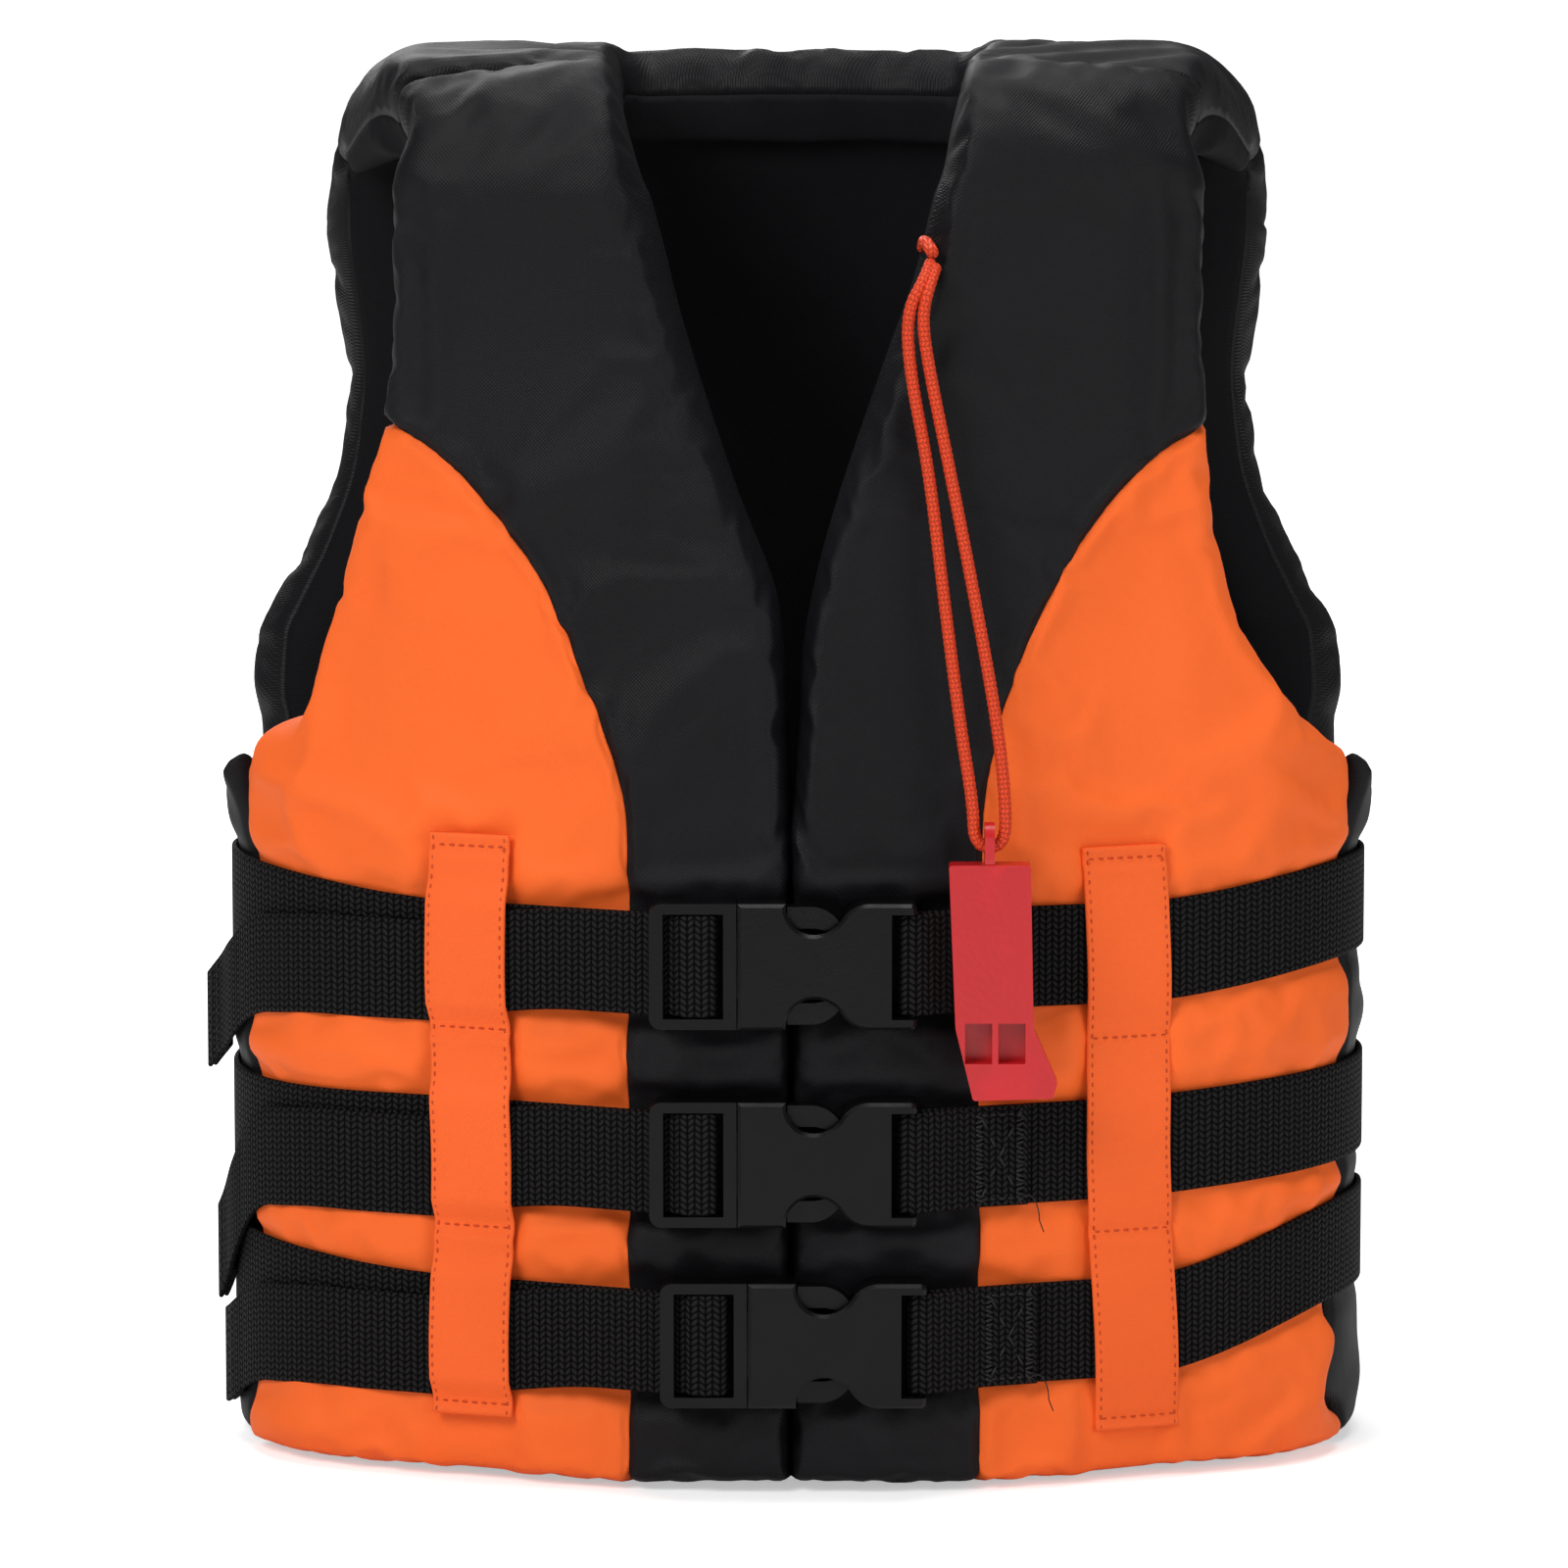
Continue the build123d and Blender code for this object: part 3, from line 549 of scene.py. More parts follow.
class Pattern:
    """A flat pattern piece: its outline's edges with the widths of their rolls, and its triangles."""

    def __init__(self, edges, spacing, seam=None):
        ring, rolls = [], []
        for points, roll in edges:
            line = spaced(points, spacing * 0.9, rounded=len(points) > 2)
            ring.extend(line[:-1])
            rolls.extend([roll] * (len(line) - 1))
        ring, rolls = np.array(ring), np.array(rolls)
        after = np.roll(ring, -1, axis=0)
        if (ring[:, 0] * after[:, 1] - ring[:, 1] * after[:, 0]).sum() < 0:
            ring, rolls = ring[::-1], np.roll(rolls[::-1], -1)
            after = np.roll(ring, -1, axis=0)
        ahead = after - np.roll(ring, 1, axis=0)
        inward = np.stack([-ahead[:, 1], ahead[:, 0]], 1)
        inward /= np.linalg.norm(inward, axis=1)[:, None]
        points = [ring]
        for angle in ROLL_STEPS:
            gap = rolls * (1 - math.cos(angle))
            moved = ring + inward * gap[:, None]
            clear = segment_distance(moved, ring, after)
            points.append(moved[inside(moved, ring) & (clear > 0.93 * gap)])
        constraints = [(i, (i + 1) % len(ring)) for i in range(len(ring))]
        seam_line = None
        if seam is not None:
            seam_line = spaced(seam, spacing * 0.9)
            snapped = [int(((ring - end) ** 2).sum(1).argmin()) for end in (seam_line[0], seam_line[-1])]
            seam_line[0], seam_line[-1] = ring[snapped[0]], ring[snapped[1]]
            first = len(ring)
            chain = [snapped[0], *range(first, first + len(seam_line) - 2), snapped[1]]
            constraints += list(zip(chain, chain[1:]))
            points.insert(1, seam_line[1:-1])
            ahead = np.gradient(seam_line, axis=0)
            across = np.stack([-ahead[:, 1], ahead[:, 0]], 1) / np.linalg.norm(ahead, axis=1)[:, None]
            for gap in (-2.6, -1.1, 1.1, 2.6):
                moved = (seam_line + across * gap)[1:-1]
                clear = segment_distance(moved, ring, after)
                points.append(moved[inside(moved, ring) & (clear > 2.5)])
        low, high = ring.min(0), ring.max(0)
        rows = np.arange(low[1], high[1], spacing * 0.866)
        lattice = np.array([
            (x + (spacing / 2 if i % 2 else 0), y)
            for i, y in enumerate(rows) for x in np.arange(low[0], high[0], spacing)
        ])
        lattice = lattice[inside(lattice, ring)]
        keep = np.ones(len(lattice), bool)
        for roll in set(rolls):
            chosen = rolls == roll
            keep &= segment_distance(lattice, ring[chosen], after[chosen]) > roll * 0.8 + spacing * 0.45
        if seam_line is not None:
            keep &= segment_distance(lattice, seam_line[:-1], seam_line[1:]) > 2.6 + spacing * 0.45
        lattice = lattice[keep]
        points.append(lattice)
        verts, _, faces, _, _, _ = delaunay_2d_cdt(
            [Vector(p) for p in np.vstack(points)], constraints, [], 1, 1e-4
        )
        self.points = np.array([v[:] for v in verts])
        self.faces = [tuple(f) for f in faces]
        self.ring, self.after, self.rolls, self.seam = ring, after, rolls, seam_line
        self.edge_gap = segment_distance(self.points, ring, after)
        self.crown = self.crown_at(self.points)

    def crown_at(self, points):
        """How far each point is up the rolled edges, from 0 on the outline to 1 on the flat."""
        crown = np.ones(len(points))
        for roll in set(self.rolls):
            chosen = self.rolls == roll
            gap = segment_distance(points, self.ring[chosen], self.after[chosen])
            share = 1 - np.clip(gap / roll, 0, 1)
            crown = np.minimum(crown, np.sqrt(np.maximum(0, 1 - share**2)))
        return crown


# How far the stuffed jacket stands out at its sides, and up at its chest and its yokes
SIDE_EASE, CHEST_EASE, YOKE_EASE = 4.0, 2.5, 2.0


def relax(verts):
    """Eases the sides out and the chest up, as the stuffed jacket stands."""
    x, y, z = np.array(verts, float).T
    wide = SIDE_EASE * smoothstep(np.abs(x), 60, 138)
    tall = CHEST_EASE * smoothstep(z, 150, 200) + YOKE_EASE * smoothstep(z, 280, 345)
    return np.stack([x + np.sign(x) * wide, y, z + tall], 1)


def new_mesh(name, verts, faces, uv=None, finish=None, eased=True):
    """A mesh object from millimetre points, with a map in metres."""
    verts = relax(verts) if eased else np.array(verts, float)
    placed = (verts + [0, MIDDLE_Y, 0]) / 1000
    mesh = bpy.data.meshes.new(name)
    mesh.from_pydata(placed.tolist(), [], [tuple(int(i) for i in f) for f in faces])
    if uv is not None:
        layer = mesh.uv_layers.new(name="Map")
        index = np.zeros(len(mesh.loops), np.int32)
        mesh.loops.foreach_get("vertex_index", index)
        layer.data.foreach_set("uv", (np.array(uv, float)[index] / 1000).astype(np.float32).ravel())
    for material in finish or ():
        mesh.materials.append(finish_of(material))
    mesh.validate()
    mesh.shade_smooth()
    obj = bpy.data.objects.new(name, mesh)
    bpy.context.scene.collection.objects.link(obj)
    return obj


def settle(verts, faces, pins, sizes, out_cap, in_cap):
    """Lets a cover settle as slack cloth over its foam, held at its pins, and limits how far it moves."""
    if sizes.steps < 2:
        return verts
    scene = bpy.context.scene
    obj = new_mesh("settling", verts, faces, eased=False)
    group = obj.vertex_groups.new(name="Pins")
    for i, weight in enumerate(pins):
        if weight > 0.02:
            group.add([i], float(weight), "REPLACE")
    before = np.array([v.co[:] for v in obj.data.vertices])
    normals = np.array([v.normal[:] for v in obj.data.vertices])
    modifier = obj.modifiers.new("Cloth", "CLOTH")
    cloth = modifier.settings
    cloth.quality = 6
    cloth.mass = 0.2
    cloth.tension_stiffness = cloth.compression_stiffness = 25
    cloth.shear_stiffness = 12
    cloth.bending_stiffness = 1.2
    cloth.air_damping = 4
    cloth.shrink_min = -sizes.slack
    cloth.use_pressure = True
    cloth.uniform_pressure_force = 2.0
    cloth.vertex_group_mass = "Pins"
    cloth.effector_weights.gravity = 0
    modifier.collision_settings.use_collision = False
    scene.frame_start, scene.frame_end = 1, sizes.steps
    modifier.point_cache.frame_start, modifier.point_cache.frame_end = 1, sizes.steps
    for step in range(1, sizes.steps + 1):
        scene.frame_set(step)
    shown = obj.evaluated_get(bpy.context.evaluated_depsgraph_get())
    moved = np.array([v.co[:] for v in shown.data.vertices]) - before
    bpy.data.objects.remove(obj)
    scene.frame_set(1)
    if not np.isfinite(moved).all():
        raise RuntimeError("a cover didn't settle")
    out = (moved * normals).sum(1)
    along = moved - normals * out[:, None]
    length = np.linalg.norm(along, axis=1)
    along *= (0.0015 * np.tanh(length / 0.0015) / np.maximum(length, 1e-9))[:, None]
    capped = np.where(out > 0, out_cap * np.tanh(out / out_cap), -in_cap * np.tanh(-out / in_cap))
    return verts + (along + normals * capped[:, None]) * 1000


def folds(points, lines):
    """Sum of soft ridges, each (x0, y0, x1, y1, half width, height) in the pattern."""
    total = np.zeros(len(points))
    for x0, y0, x1, y1, width, height in lines:
        start, along = np.array([x0, y0], float), np.array([x1 - x0, y1 - y0], float)
        length = np.linalg.norm(along)
        k = ((points - start) @ along) / length**2
        gap = np.linalg.norm(points - start - np.clip(k, 0, 1)[:, None] * along, axis=1)
        taper = np.sin(np.pi * np.clip(k, 0.02, 0.98)) ** 0.5
        total += height * np.exp(-((gap / width) ** 2)) * taper
    return total


def ripple(points, seed, wave, height, stretch=(1, 1)):
    """Gentle unevenness of the cloth, the same on each run."""
    rng = np.random.default_rng(seed)
    total = np.zeros(len(points))
    for _ in range(9):
        angle, phase = rng.uniform(0, math.pi), rng.uniform(0, 2 * math.pi)
        size = wave * rng.uniform(0.7, 1.8)
        direction = np.array([math.cos(angle) * stretch[0], math.sin(angle) * stretch[1]])
        total += np.sin(points @ direction * 2 * math.pi / size + phase)
    return height * total / 3


def refine(verts, uv, faces, slots):
    """One smoothing subdivision of a triangle mesh, its outline kept on its own curve."""
    verts, uv, faces = np.array(verts, float), np.array(uv, float), np.array(faces)
    sides = np.concatenate([faces[:, [0, 1]], faces[:, [1, 2]], faces[:, [2, 0]]])
    far = np.concatenate([faces[:, 2], faces[:, 0], faces[:, 1]])
    pairs, index, count = np.unique(np.sort(sides, 1), axis=0, return_inverse=True, return_counts=True)
    index = index.ravel()
    opposite = np.zeros((len(pairs), 3))
    np.add.at(opposite, index, verts[far])
    a, b = verts[pairs[:, 0]], verts[pairs[:, 1]]
    open_edge = (count == 1)[:, None]
    middle = np.where(open_edge, (a + b) / 2, (a + b) * 0.375 + opposite / 8)
    total, number = np.zeros_like(verts), np.zeros(len(verts))
    rim_total, rim = np.zeros_like(verts), np.zeros(len(verts))
    for i, j in ((0, 1), (1, 0)):
        np.add.at(total, pairs[:, i], verts[pairs[:, j]])
        np.add.at(number, pairs[:, i], 1)
        np.add.at(rim_total, pairs[count == 1, i], verts[pairs[count == 1, j]])
        np.add.at(rim, pairs[count == 1, i], 1)
    beta = np.where(number > 3, 0.375 / np.maximum(number, 1), 0.1875)[:, None]
    soft = verts * (1 - number[:, None] * beta) + total * beta
    kept = np.where((rim > 0)[:, None], verts, soft)
    kept = np.where((rim == 2)[:, None], verts * 0.75 + rim_total / 8, kept)
    n = len(verts)
    m = (index + n).reshape(3, -1)
    made = np.concatenate([
        np.stack([faces[:, 0], m[0], m[2]], 1), np.stack([faces[:, 1], m[1], m[0]], 1),
        np.stack([faces[:, 2], m[2], m[1]], 1), np.stack([m[0], m[1], m[2]], 1),
    ])
    return (
        np.vstack([kept, middle]), np.vstack([uv, (uv[pairs[:, 0]] + uv[pairs[:, 1]]) / 2]),
        made, np.tile(slots, 4),
    )


def part_of(verts, uv, faces):
    """The points that some faces use, and those faces on them."""
    used, index = np.unique(faces, return_inverse=True)
    return verts[used], index.reshape(faces.shape), uv[used]


def thicken(verts, faces, uv, thickness):
    """Gives a sheet of faces its thickness, towards its inside, with walls round its open edges."""
    corner = verts[faces]
    cross = np.cross(corner[:, 1] - corner[:, 0], corner[:, 2] - corner[:, 0])
    normals = np.zeros_like(verts)
    for k in range(3):
        np.add.at(normals, faces[:, k], cross)
    normals /= np.maximum(np.linalg.norm(normals, axis=1), 1e-9)[:, None]
    n = len(verts)
    edges = {(int(a), int(b)) for f in faces for a, b in ((f[0], f[1]), (f[1], f[2]), (f[2], f[0]))}
    walls = [(b, a, a + n, b + n) for a, b in edges if (b, a) not in edges]
    made = [tuple(f) for f in faces] + [tuple(f[::-1] + n) for f in faces] + sorted(walls)
    return np.vstack([verts, verts - normals * thickness]), made, np.vstack([uv, uv])


def panel(
    name, pattern, place, depth, sizes, covers, lining, pins, back=False, warp=None, caps=(0.003, 0.0015)
):
    """Cover, lining and foam of one padded panel.

    place maps (pattern points, depth) to space; depth is the cover's height over the wall where it
    lies flat; covers are the (name, material) pairs, split at the pattern's seam; lining is (name,
    material); pins is how firmly each point is held while the cloth settles.
    """
    p, crown = pattern.points, pattern.crown
    flip = (lambda f: f[::-1]) if back else (lambda f: f)
    warp = warp or (lambda v: v)
    outer = -HALF_THICK + (HALF_THICK + depth) * crown
    slots = None
    if pattern.seam is not None:
        far = [(400, pattern.seam[-1][1]), (400, -90), (pattern.seam[0][0], -90)]
        sign = -1 if p[:, 0].mean() < 0 else 1
        area = np.vstack([pattern.seam, [(sign * x, y) for x, y in far]])
        middles = np.array([p[list(f)].mean(0) for f in pattern.faces])
        slots = inside(middles, area).astype(int)
    faces = np.array([flip(f) for f in pattern.faces])
    slots = np.zeros(len(faces), int) if slots is None else slots
    pins = np.maximum(pins, 1 - smoothstep(pattern.edge_gap, 1.0, 5.0))
    base = settle(warp(place(p, outer)), faces, pins, sizes, *caps)
    verts, uv, fine, fine_slots = refine(base, p, faces, slots)
    pieces = []
    for slot, (piece_name, finish) in enumerate(covers):
        sheet = part_of(verts, uv, fine[fine_slots == slot])
        piece = new_mesh(piece_name, *thicken(*sheet, sizes.cover * 1000), [finish])
        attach(piece, "vest")
        pieces.append(piece)
    inner = -HALF_THICK - (HALF_THICK - 0.6 + ripple(p, len(name), 46, 0.35)) * crown
    verts, uv, fine, _ = refine(warp(place(p, inner)), p, faces[:, ::-1], slots)
    backing = new_mesh(lining[0], *thicken(verts, fine, uv, sizes.cover * 1000), [lining[1]])
    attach(backing, "vest")
    keep = pattern.edge_gap > 3.2
    chosen = [f for f in pattern.faces if keep[list(f)].all()]
    used = sorted({i for f in chosen for i in f})
    index = {v: i for i, v in enumerate(used)}
    q = p[used]
    inward = smoothstep(pattern.edge_gap[used], 3.0, 12.0)
    top = warp(place(q, -HALF_THICK + (HALF_THICK - 3.2) * (0.45 + 0.55 * inward)))
    bottom = warp(place(q, -HALF_THICK - (HALF_THICK - 3.0) * (0.45 + 0.55 * inward)))
    count = len(used)
    faces = [tuple(index[i] for i in flip(f)) for f in chosen]
    edges = {}
    for f in faces:
        for a, b in zip(f, f[1:] + f[:1]):
            edges[(a, b)] = 1
    walls = [(b, a, a + count, b + count) for a, b in edges if (b, a) not in edges]
    foam = new_mesh(
        f"{name}_foam_block", np.vstack([top, bottom]),
        faces + [tuple(i + count for i in f[::-1]) for f in faces] + walls, np.vstack([q, q]), ["foam"],
    )
    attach(foam, "vest")
    return pieces, backing, foam


def tube_faces(rings, sides):
    """Faces of a tube of rings, with both its ends shut."""
    faces = [
        (i * sides + j, i * sides + k, (i + 1) * sides + k, (i + 1) * sides + j)
        for i in range(rings - 1) for j, k in zip(range(sides), [*range(1, sides), 0])
    ]
    return faces + [tuple(range(sides))[::-1], tuple(range((rings - 1) * sides, rings * sides))]


def ribbon(name, centre, across, width, thick, finish, start=0.0, cells=10):
    """A flat strap with rounded edges along a centre line; across points over its width."""
    centre, across = np.array(centre, float), np.array(across, float)
    if across.ndim == 1:
        across = np.repeat(across[None], len(centre), 0)
    across /= np.linalg.norm(across, axis=1)[:, None]
    ahead = np.gradient(centre, axis=0)
    ahead /= np.linalg.norm(ahead, axis=1)[:, None]
    normal = np.cross(ahead, across)
    normal /= np.linalg.norm(normal, axis=1)[:, None]
    half, r = width / 2, thick / 2
    flat = np.linspace(-(half - r), half - r, cells + 1)
    bend = [math.radians(a) for a in (60, 30, 0, -30, -60)]
    section = [(v, r) for v in flat]
    section += [(half - r + r * math.cos(a), r * math.sin(a)) for a in bend]
    section += [(v, -r) for v in flat[::-1]]
    section += [(-(half - r) - r * math.cos(a), -r * math.sin(a)) for a in bend]
    section = np.array(section)
    far = start + np.concatenate([[0], np.cumsum(np.linalg.norm(np.diff(centre, axis=0), axis=1))])
    m, n = len(section), len(centre)
    verts = (
        centre[:, None] + section[None, :, :1] * across[:, None] + section[None, :, 1:] * normal[:, None]
    ).reshape(-1, 3)
    uv = np.stack([np.repeat(far, m), np.tile(section[:, 0] + half, n)], 1)
    return new_mesh(name, verts, [f[::-1] for f in tube_faces(n, m)], uv, [finish])


# Each ring of a stitch: how far along it is, its size and its rise
STITCH_SHAPE = ((0, 0.35, -0.3), (0.18, 0.95, 0.0), (0.5, 1.1, 0.12), (0.82, 0.95, 0.0), (1, 0.35, -0.3))


def threads(name, marks, finish, radius=0.26):
    """Short stitches as one mesh: each mark is (start, end, lift direction)."""
    verts, faces = [], []
    for start, end, lift in marks:
        start, end, lift = (np.array(v, float) for v in (start, end, lift))
        ahead = end - start
        ahead /= np.linalg.norm(ahead)
        lift = lift / np.linalg.norm(lift)
        sideways = np.cross(ahead, lift)
        first = len(verts)
        for k, size, rise in STITCH_SHAPE:
            middle = start + (end - start) * k + lift * rise
            for a in range(6):
                angle = a * math.pi / 3
                verts.append(middle + radius * size * (math.cos(angle) * sideways + math.sin(angle) * lift))
        faces += [tuple(first + i for i in f) for f in tube_faces(len(STITCH_SHAPE), 6)]
    uv = np.array(verts)[:, [0, 2]]
    return new_mesh(name, verts, faces, uv, [finish])


def strand(name, line, radius, finish, sides=6):
    """A thin round thread along a line."""
    line = np.array(line, float)
    ahead = np.gradient(line, axis=0)
    ahead /= np.linalg.norm(ahead, axis=1)[:, None]
    side = np.cross(ahead, [0.3, -1, 0.2])
    side /= np.linalg.norm(side, axis=1)[:, None]
    other = np.cross(ahead, side)
    verts = np.array([
        c + radius * (math.cos(k) * s + math.sin(k) * o)
        for c, s, o in zip(line, side, other) for k in np.arange(sides) * 2 * math.pi / sides
    ])
    return new_mesh(name, verts, tube_faces(len(line), sides), verts[:, [0, 2]], [finish])


# ---- Belt geometry, as the frame has it ----
BAR_Y, FEMALE_BAR = -86.5, 1.4
MALE_BAR, MALE_BAR_X, MALE_BAR_Y = 2.5, (-26.3, -21.0), -88.25
CLEARANCE = 0.3
TAIL_ROOT = math.radians(21.6)
# How far each belt climbs at the wearer's left and right flanks; its tail's loose length and drop
CLIMB = {"top": (5.0, 5.0), "middle": (2.5, -1.0), "bottom": (13.0, 4.0)}
HANG = {"top": (26.0, 28.0), "middle": (21.0, 38.0), "bottom": (16.0, 19.0)}


def tangent_angle(x, y, out):
    """Angle from straight ahead at which a strap from (x, y) lies down on the front."""
    dx, dy = abs(x), FRONT_C - y
    return math.atan2(dx, dy) + math.acos((FRONT_R + out) / math.hypot(dx, dy))


def on_front(angle, out, side):
    """Point in plan on the front, out from it, at an angle from straight ahead."""
    return side * (FRONT_R + out) * math.sin(angle), FRONT_C - (FRONT_R + out) * math.cos(angle)


def front_run(out, first, last, step):
    """Plan points round the jacket, out from it, from one girth to another."""
    at = np.linspace(first, last, max(2, int(abs(last - first) / step)))
    return on_wall(np.stack([at, np.full(len(at), 10.0)], 1), out)[:, :2]


def climb(name, side, plan):
    """How far a belt stands above its level at points in plan."""
    rise = CLIMB[name][0 if side == "left" else 1]
    return rise * smoothstep(np.abs(plan[:, 0]), 84, 139) * (1 - smoothstep(plan[:, 1], 0, 60))


def front_depth(points, sizes, side=None):
    """Height of the front covers over the wall: pinched at the belts and swelling between them."""
    u, t = points[:, 0], points[:, 1]
    free = np.ones(len(t))
    plan = on_wall(points, 0)[:, :2]
    for name, (level, _) in LEVELS.items():
        gap = np.abs(t - level - (climb(name, side, plan) if side else 0))
        free *= smoothstep(gap, 11.5, 20.0)
    bulge = sizes.bulge * 1000
    low = 1 - smoothstep(t, 150, 215)
    depth = bulge * free * (0.35 + 0.65 * low)
    taken = 1 - 0.5 * (1 - smoothstep(np.abs(np.abs(u) - 81), 9, 14)) * (1 - smoothstep(t, 160, 170))
    return (depth - 0.35 * (1 - free)) * taken, free


V_LEFT = [
    (-2.6, 165), (-1.2, 190), (0.8, 205), (3.6, 221), (8.3, 239), (14.5, 258), (21.4, 277.6), (27.8, 295),
    (32, 311), (35.5, 326), (38.5, 340),
]
V_RIGHT = [
    (1.4, 165), (2.4, 190), (3.6, 207), (6.0, 222), (15.5, 246.4), (27.4, 282.5), (33.5, 305), (37.4, 319),
    (42.5, 338),
]
ARM_LEFT = [
    (131.5, 179), (127, 182), (119.5, 189), (111, 200), (104.5, 212), (100.5, 225), (97.2, 245), (96, 262),
    (95, 290), (95.6, 315),
]
ARM_RIGHT = [
    (131, 176), (129.5, 181.5), (126, 184.5), (121, 186), (117.5, 190), (113.5, 202), (108, 222),
    (103.5, 240), (98.4, 257), (96.2, 280), (95.2, 300), (95.6, 315),
]
FOLDS = {
    "left": [
        (135, 110, 133, 45, 3.5, 1.8), (140, 150, 118, 136, 4, 1.2), (128, 20, 150, 34, 4, 2.2),
        (120, 8, 150, 18, 4, 1.8), (100, 168, 92, 235, 7, 0.9), (60, 12, 96, 22, 6, 0.9),
        (85, 250, 88, 330, 5, 1.1), (70, 335, 90, 318, 5, 1.0), (15, 120, 38, 108, 4, 0.9),
        (112, 6, 143, 24, 2.6, 1.6), (118, 172, 146, 158, 3.0, 1.6), (98, 60, 132, 68, 3.5, 0.9),
        (12, 66, 36, 60, 4, 1.0), (14, 15, 40, 22, 5, 0.8), (50, 180, 62, 240, 9, 0.7),
    ],
    "right": [
        (140, 150, 120, 134, 4, 1.4), (145, 22, 118, 12, 4, 2.2), (130, 8, 105, 20, 5, 1.6),
        (133, 62, 120, 58, 3.5, 1.2), (114, 18, 142, 5, 2.6, 1.6),
        (112, 168, 144, 172, 3.0, 1.8), (118, 186, 128, 160, 3.5, 1.6), (94, 158, 118, 170, 4, 0.8),
        (104, 190, 96, 240, 6, 1.0), (88, 255, 90, 335, 5, 1.2),
        (62, 330, 88, 340, 5, 1.1), (14, 112, 36, 106, 4, 0.9), (12, 60, 34, 64, 4, 1.0),
        (16, 10, 38, 22, 5, 0.9), (120, 150, 128, 166, 4, 1.2), (58, 176, 50, 230, 9, 0.7),
    ],
}


def mirrored(edges, sign):
    """A pattern's edges on one side of the middle."""
    return [([(sign * u, t) for u, t in points], roll) for points, roll in edges]


def build_front(side, sizes):
    """One front panel: black centre and orange side over one block of foam."""
    sign = SIDES[side]
    neck = V_LEFT if side == "left" else V_RIGHT
    arm = ARM_LEFT if side == "left" else ARM_RIGHT
    seam_x = 44.3 if side == "left" else 41.6
    centre = neck[0][0]
    rng = np.random.default_rng(5 if side == "left" else 8)
    hem_u = np.linspace(FRONT_R * math.asin(centre / FRONT_R) + 0.2, flank(24), 14)
    hem_t = 0.6 + 0.5 * np.sin(np.cumsum(rng.uniform(0.5, 1.3, 14)))
    hem = list(zip(hem_u, hem_t))
    gap = hem[0][0]
    top_y = 42.0
    outer = [rim_at(x, z) for x, z in arm]
    outer += [wall_over(x, y) for x, y in ((97.3, 55.0), (98.3, 49.0), (99.2, top_y))]
    inner = [(FRONT_R * math.asin(neck[0][0] / FRONT_R), neck[0][1])] + [rim_at(x, z) for x, z in neck[1:]]
    inner_top = wall_over(neck[-1][0] + 0.8, top_y)
    shoulder = [outer[-1]] + [wall_over(x, top_y) for x in (85, 70, 55)] + [inner_top]
    flank_edge = [(flank(24), 60)]
    if side == "left":
        flank_edge = [(flank(24) - k, t) for k, t in ((1.5, 9), (11.5, 16), (8.5, 29), (4.5, 46), (0, 64))]
    edges = [
        (hem, 4.5),
        ([hem[-1]] + flank_edge + [(flank(24), outer[0][1] - 3), outer[0]], 5.0),
        (outer, 8.0),
        (shoulder, 2.5),
        ([inner_top] + inner[::-1], 6.0),
        ([inner[0], (gap, 100), hem[0]], 4.0),
    ]
    seam = [wall_at(seam_x, z) for z in (2, 40, 80, 120)] + [
        wall_at(x, z) for x, z in (
            (seam_x, 150), (seam_x + 1.2, 172), (50.5, 194), (60, 217), (73, 238), (86, 252), (96.8, 259.5))
    ]
    pattern = Pattern(mirrored(edges, sign), sizes.spacing * 1000, [(sign * u, t) for u, t in seam])
    p = pattern.points * [sign, 1]
    depth, free = front_depth(p, sizes, side)
    seam_gap = segment_distance(pattern.points, pattern.seam[:-1], pattern.seam[1:])
    uneven = ripple(p, 3 + sign, 60, 0.5) * smoothstep(free, 0.2, 1)
    depth += (folds(p, FOLDS[side]) + uneven) * smoothstep(free, 0.0, 0.6)
    depth -= 1.0 * np.exp(-((seam_gap / 1.5) ** 2)) * smoothstep(free, 0.0, 0.5)
    if side == "right":
        under = np.zeros(len(p))
        for level, _ in LEVELS.values():
            near = 1 - smoothstep(np.abs(p[:, 1] - level + 5), 19, 27)
            under = np.maximum(under, near * smoothstep(p[:, 0], 80, 92))
        depth = np.minimum(depth, 1.3 + 4 * (1 - under))
    strip = (1 - smoothstep(np.abs(p[:, 0] - 81), 9, 13)) * (1 - smoothstep(p[:, 1], 160, 168))
    belted, seamed = 1 - smoothstep(free, 0.05, 0.5), 0.9 * (1 - smoothstep(seam_gap, 0.5, 3))
    pins = np.clip(np.maximum.reduce([belted, strip, seamed]), 0, 1)
    return panel(
        f"front_{side}", pattern, on_wall, depth, sizes,
        [(f"front_{side}_black", "black_cloth"), (f"front_{side}_orange", "orange_cloth")],
        (f"front_{side}_inside", "lining_cloth"), pins,
    )


def wing(verts):
    """Lets the back's shoulder corners spread and droop behind the straps."""
    x, y, z = verts.T
    ease = smoothstep(y, -42, 10)
    reach = np.maximum(0, np.abs(x) - 92)
    spread = 0.26 * reach * smoothstep(z, 260, 310) * ease
    flare = np.interp(z, (155, 183, 198, 219, 240, 262), (0, 12, 14, 8, 5, 3))
    flare = flare * smoothstep(np.abs(x), 80, 118) * smoothstep(y, 5, 30)
    droop = 0.055 * (reach * smoothstep(z, 268, 330)) ** 2 * ease
    return np.stack([x + np.sign(x) * (spread + flare), y, z - droop], 1)


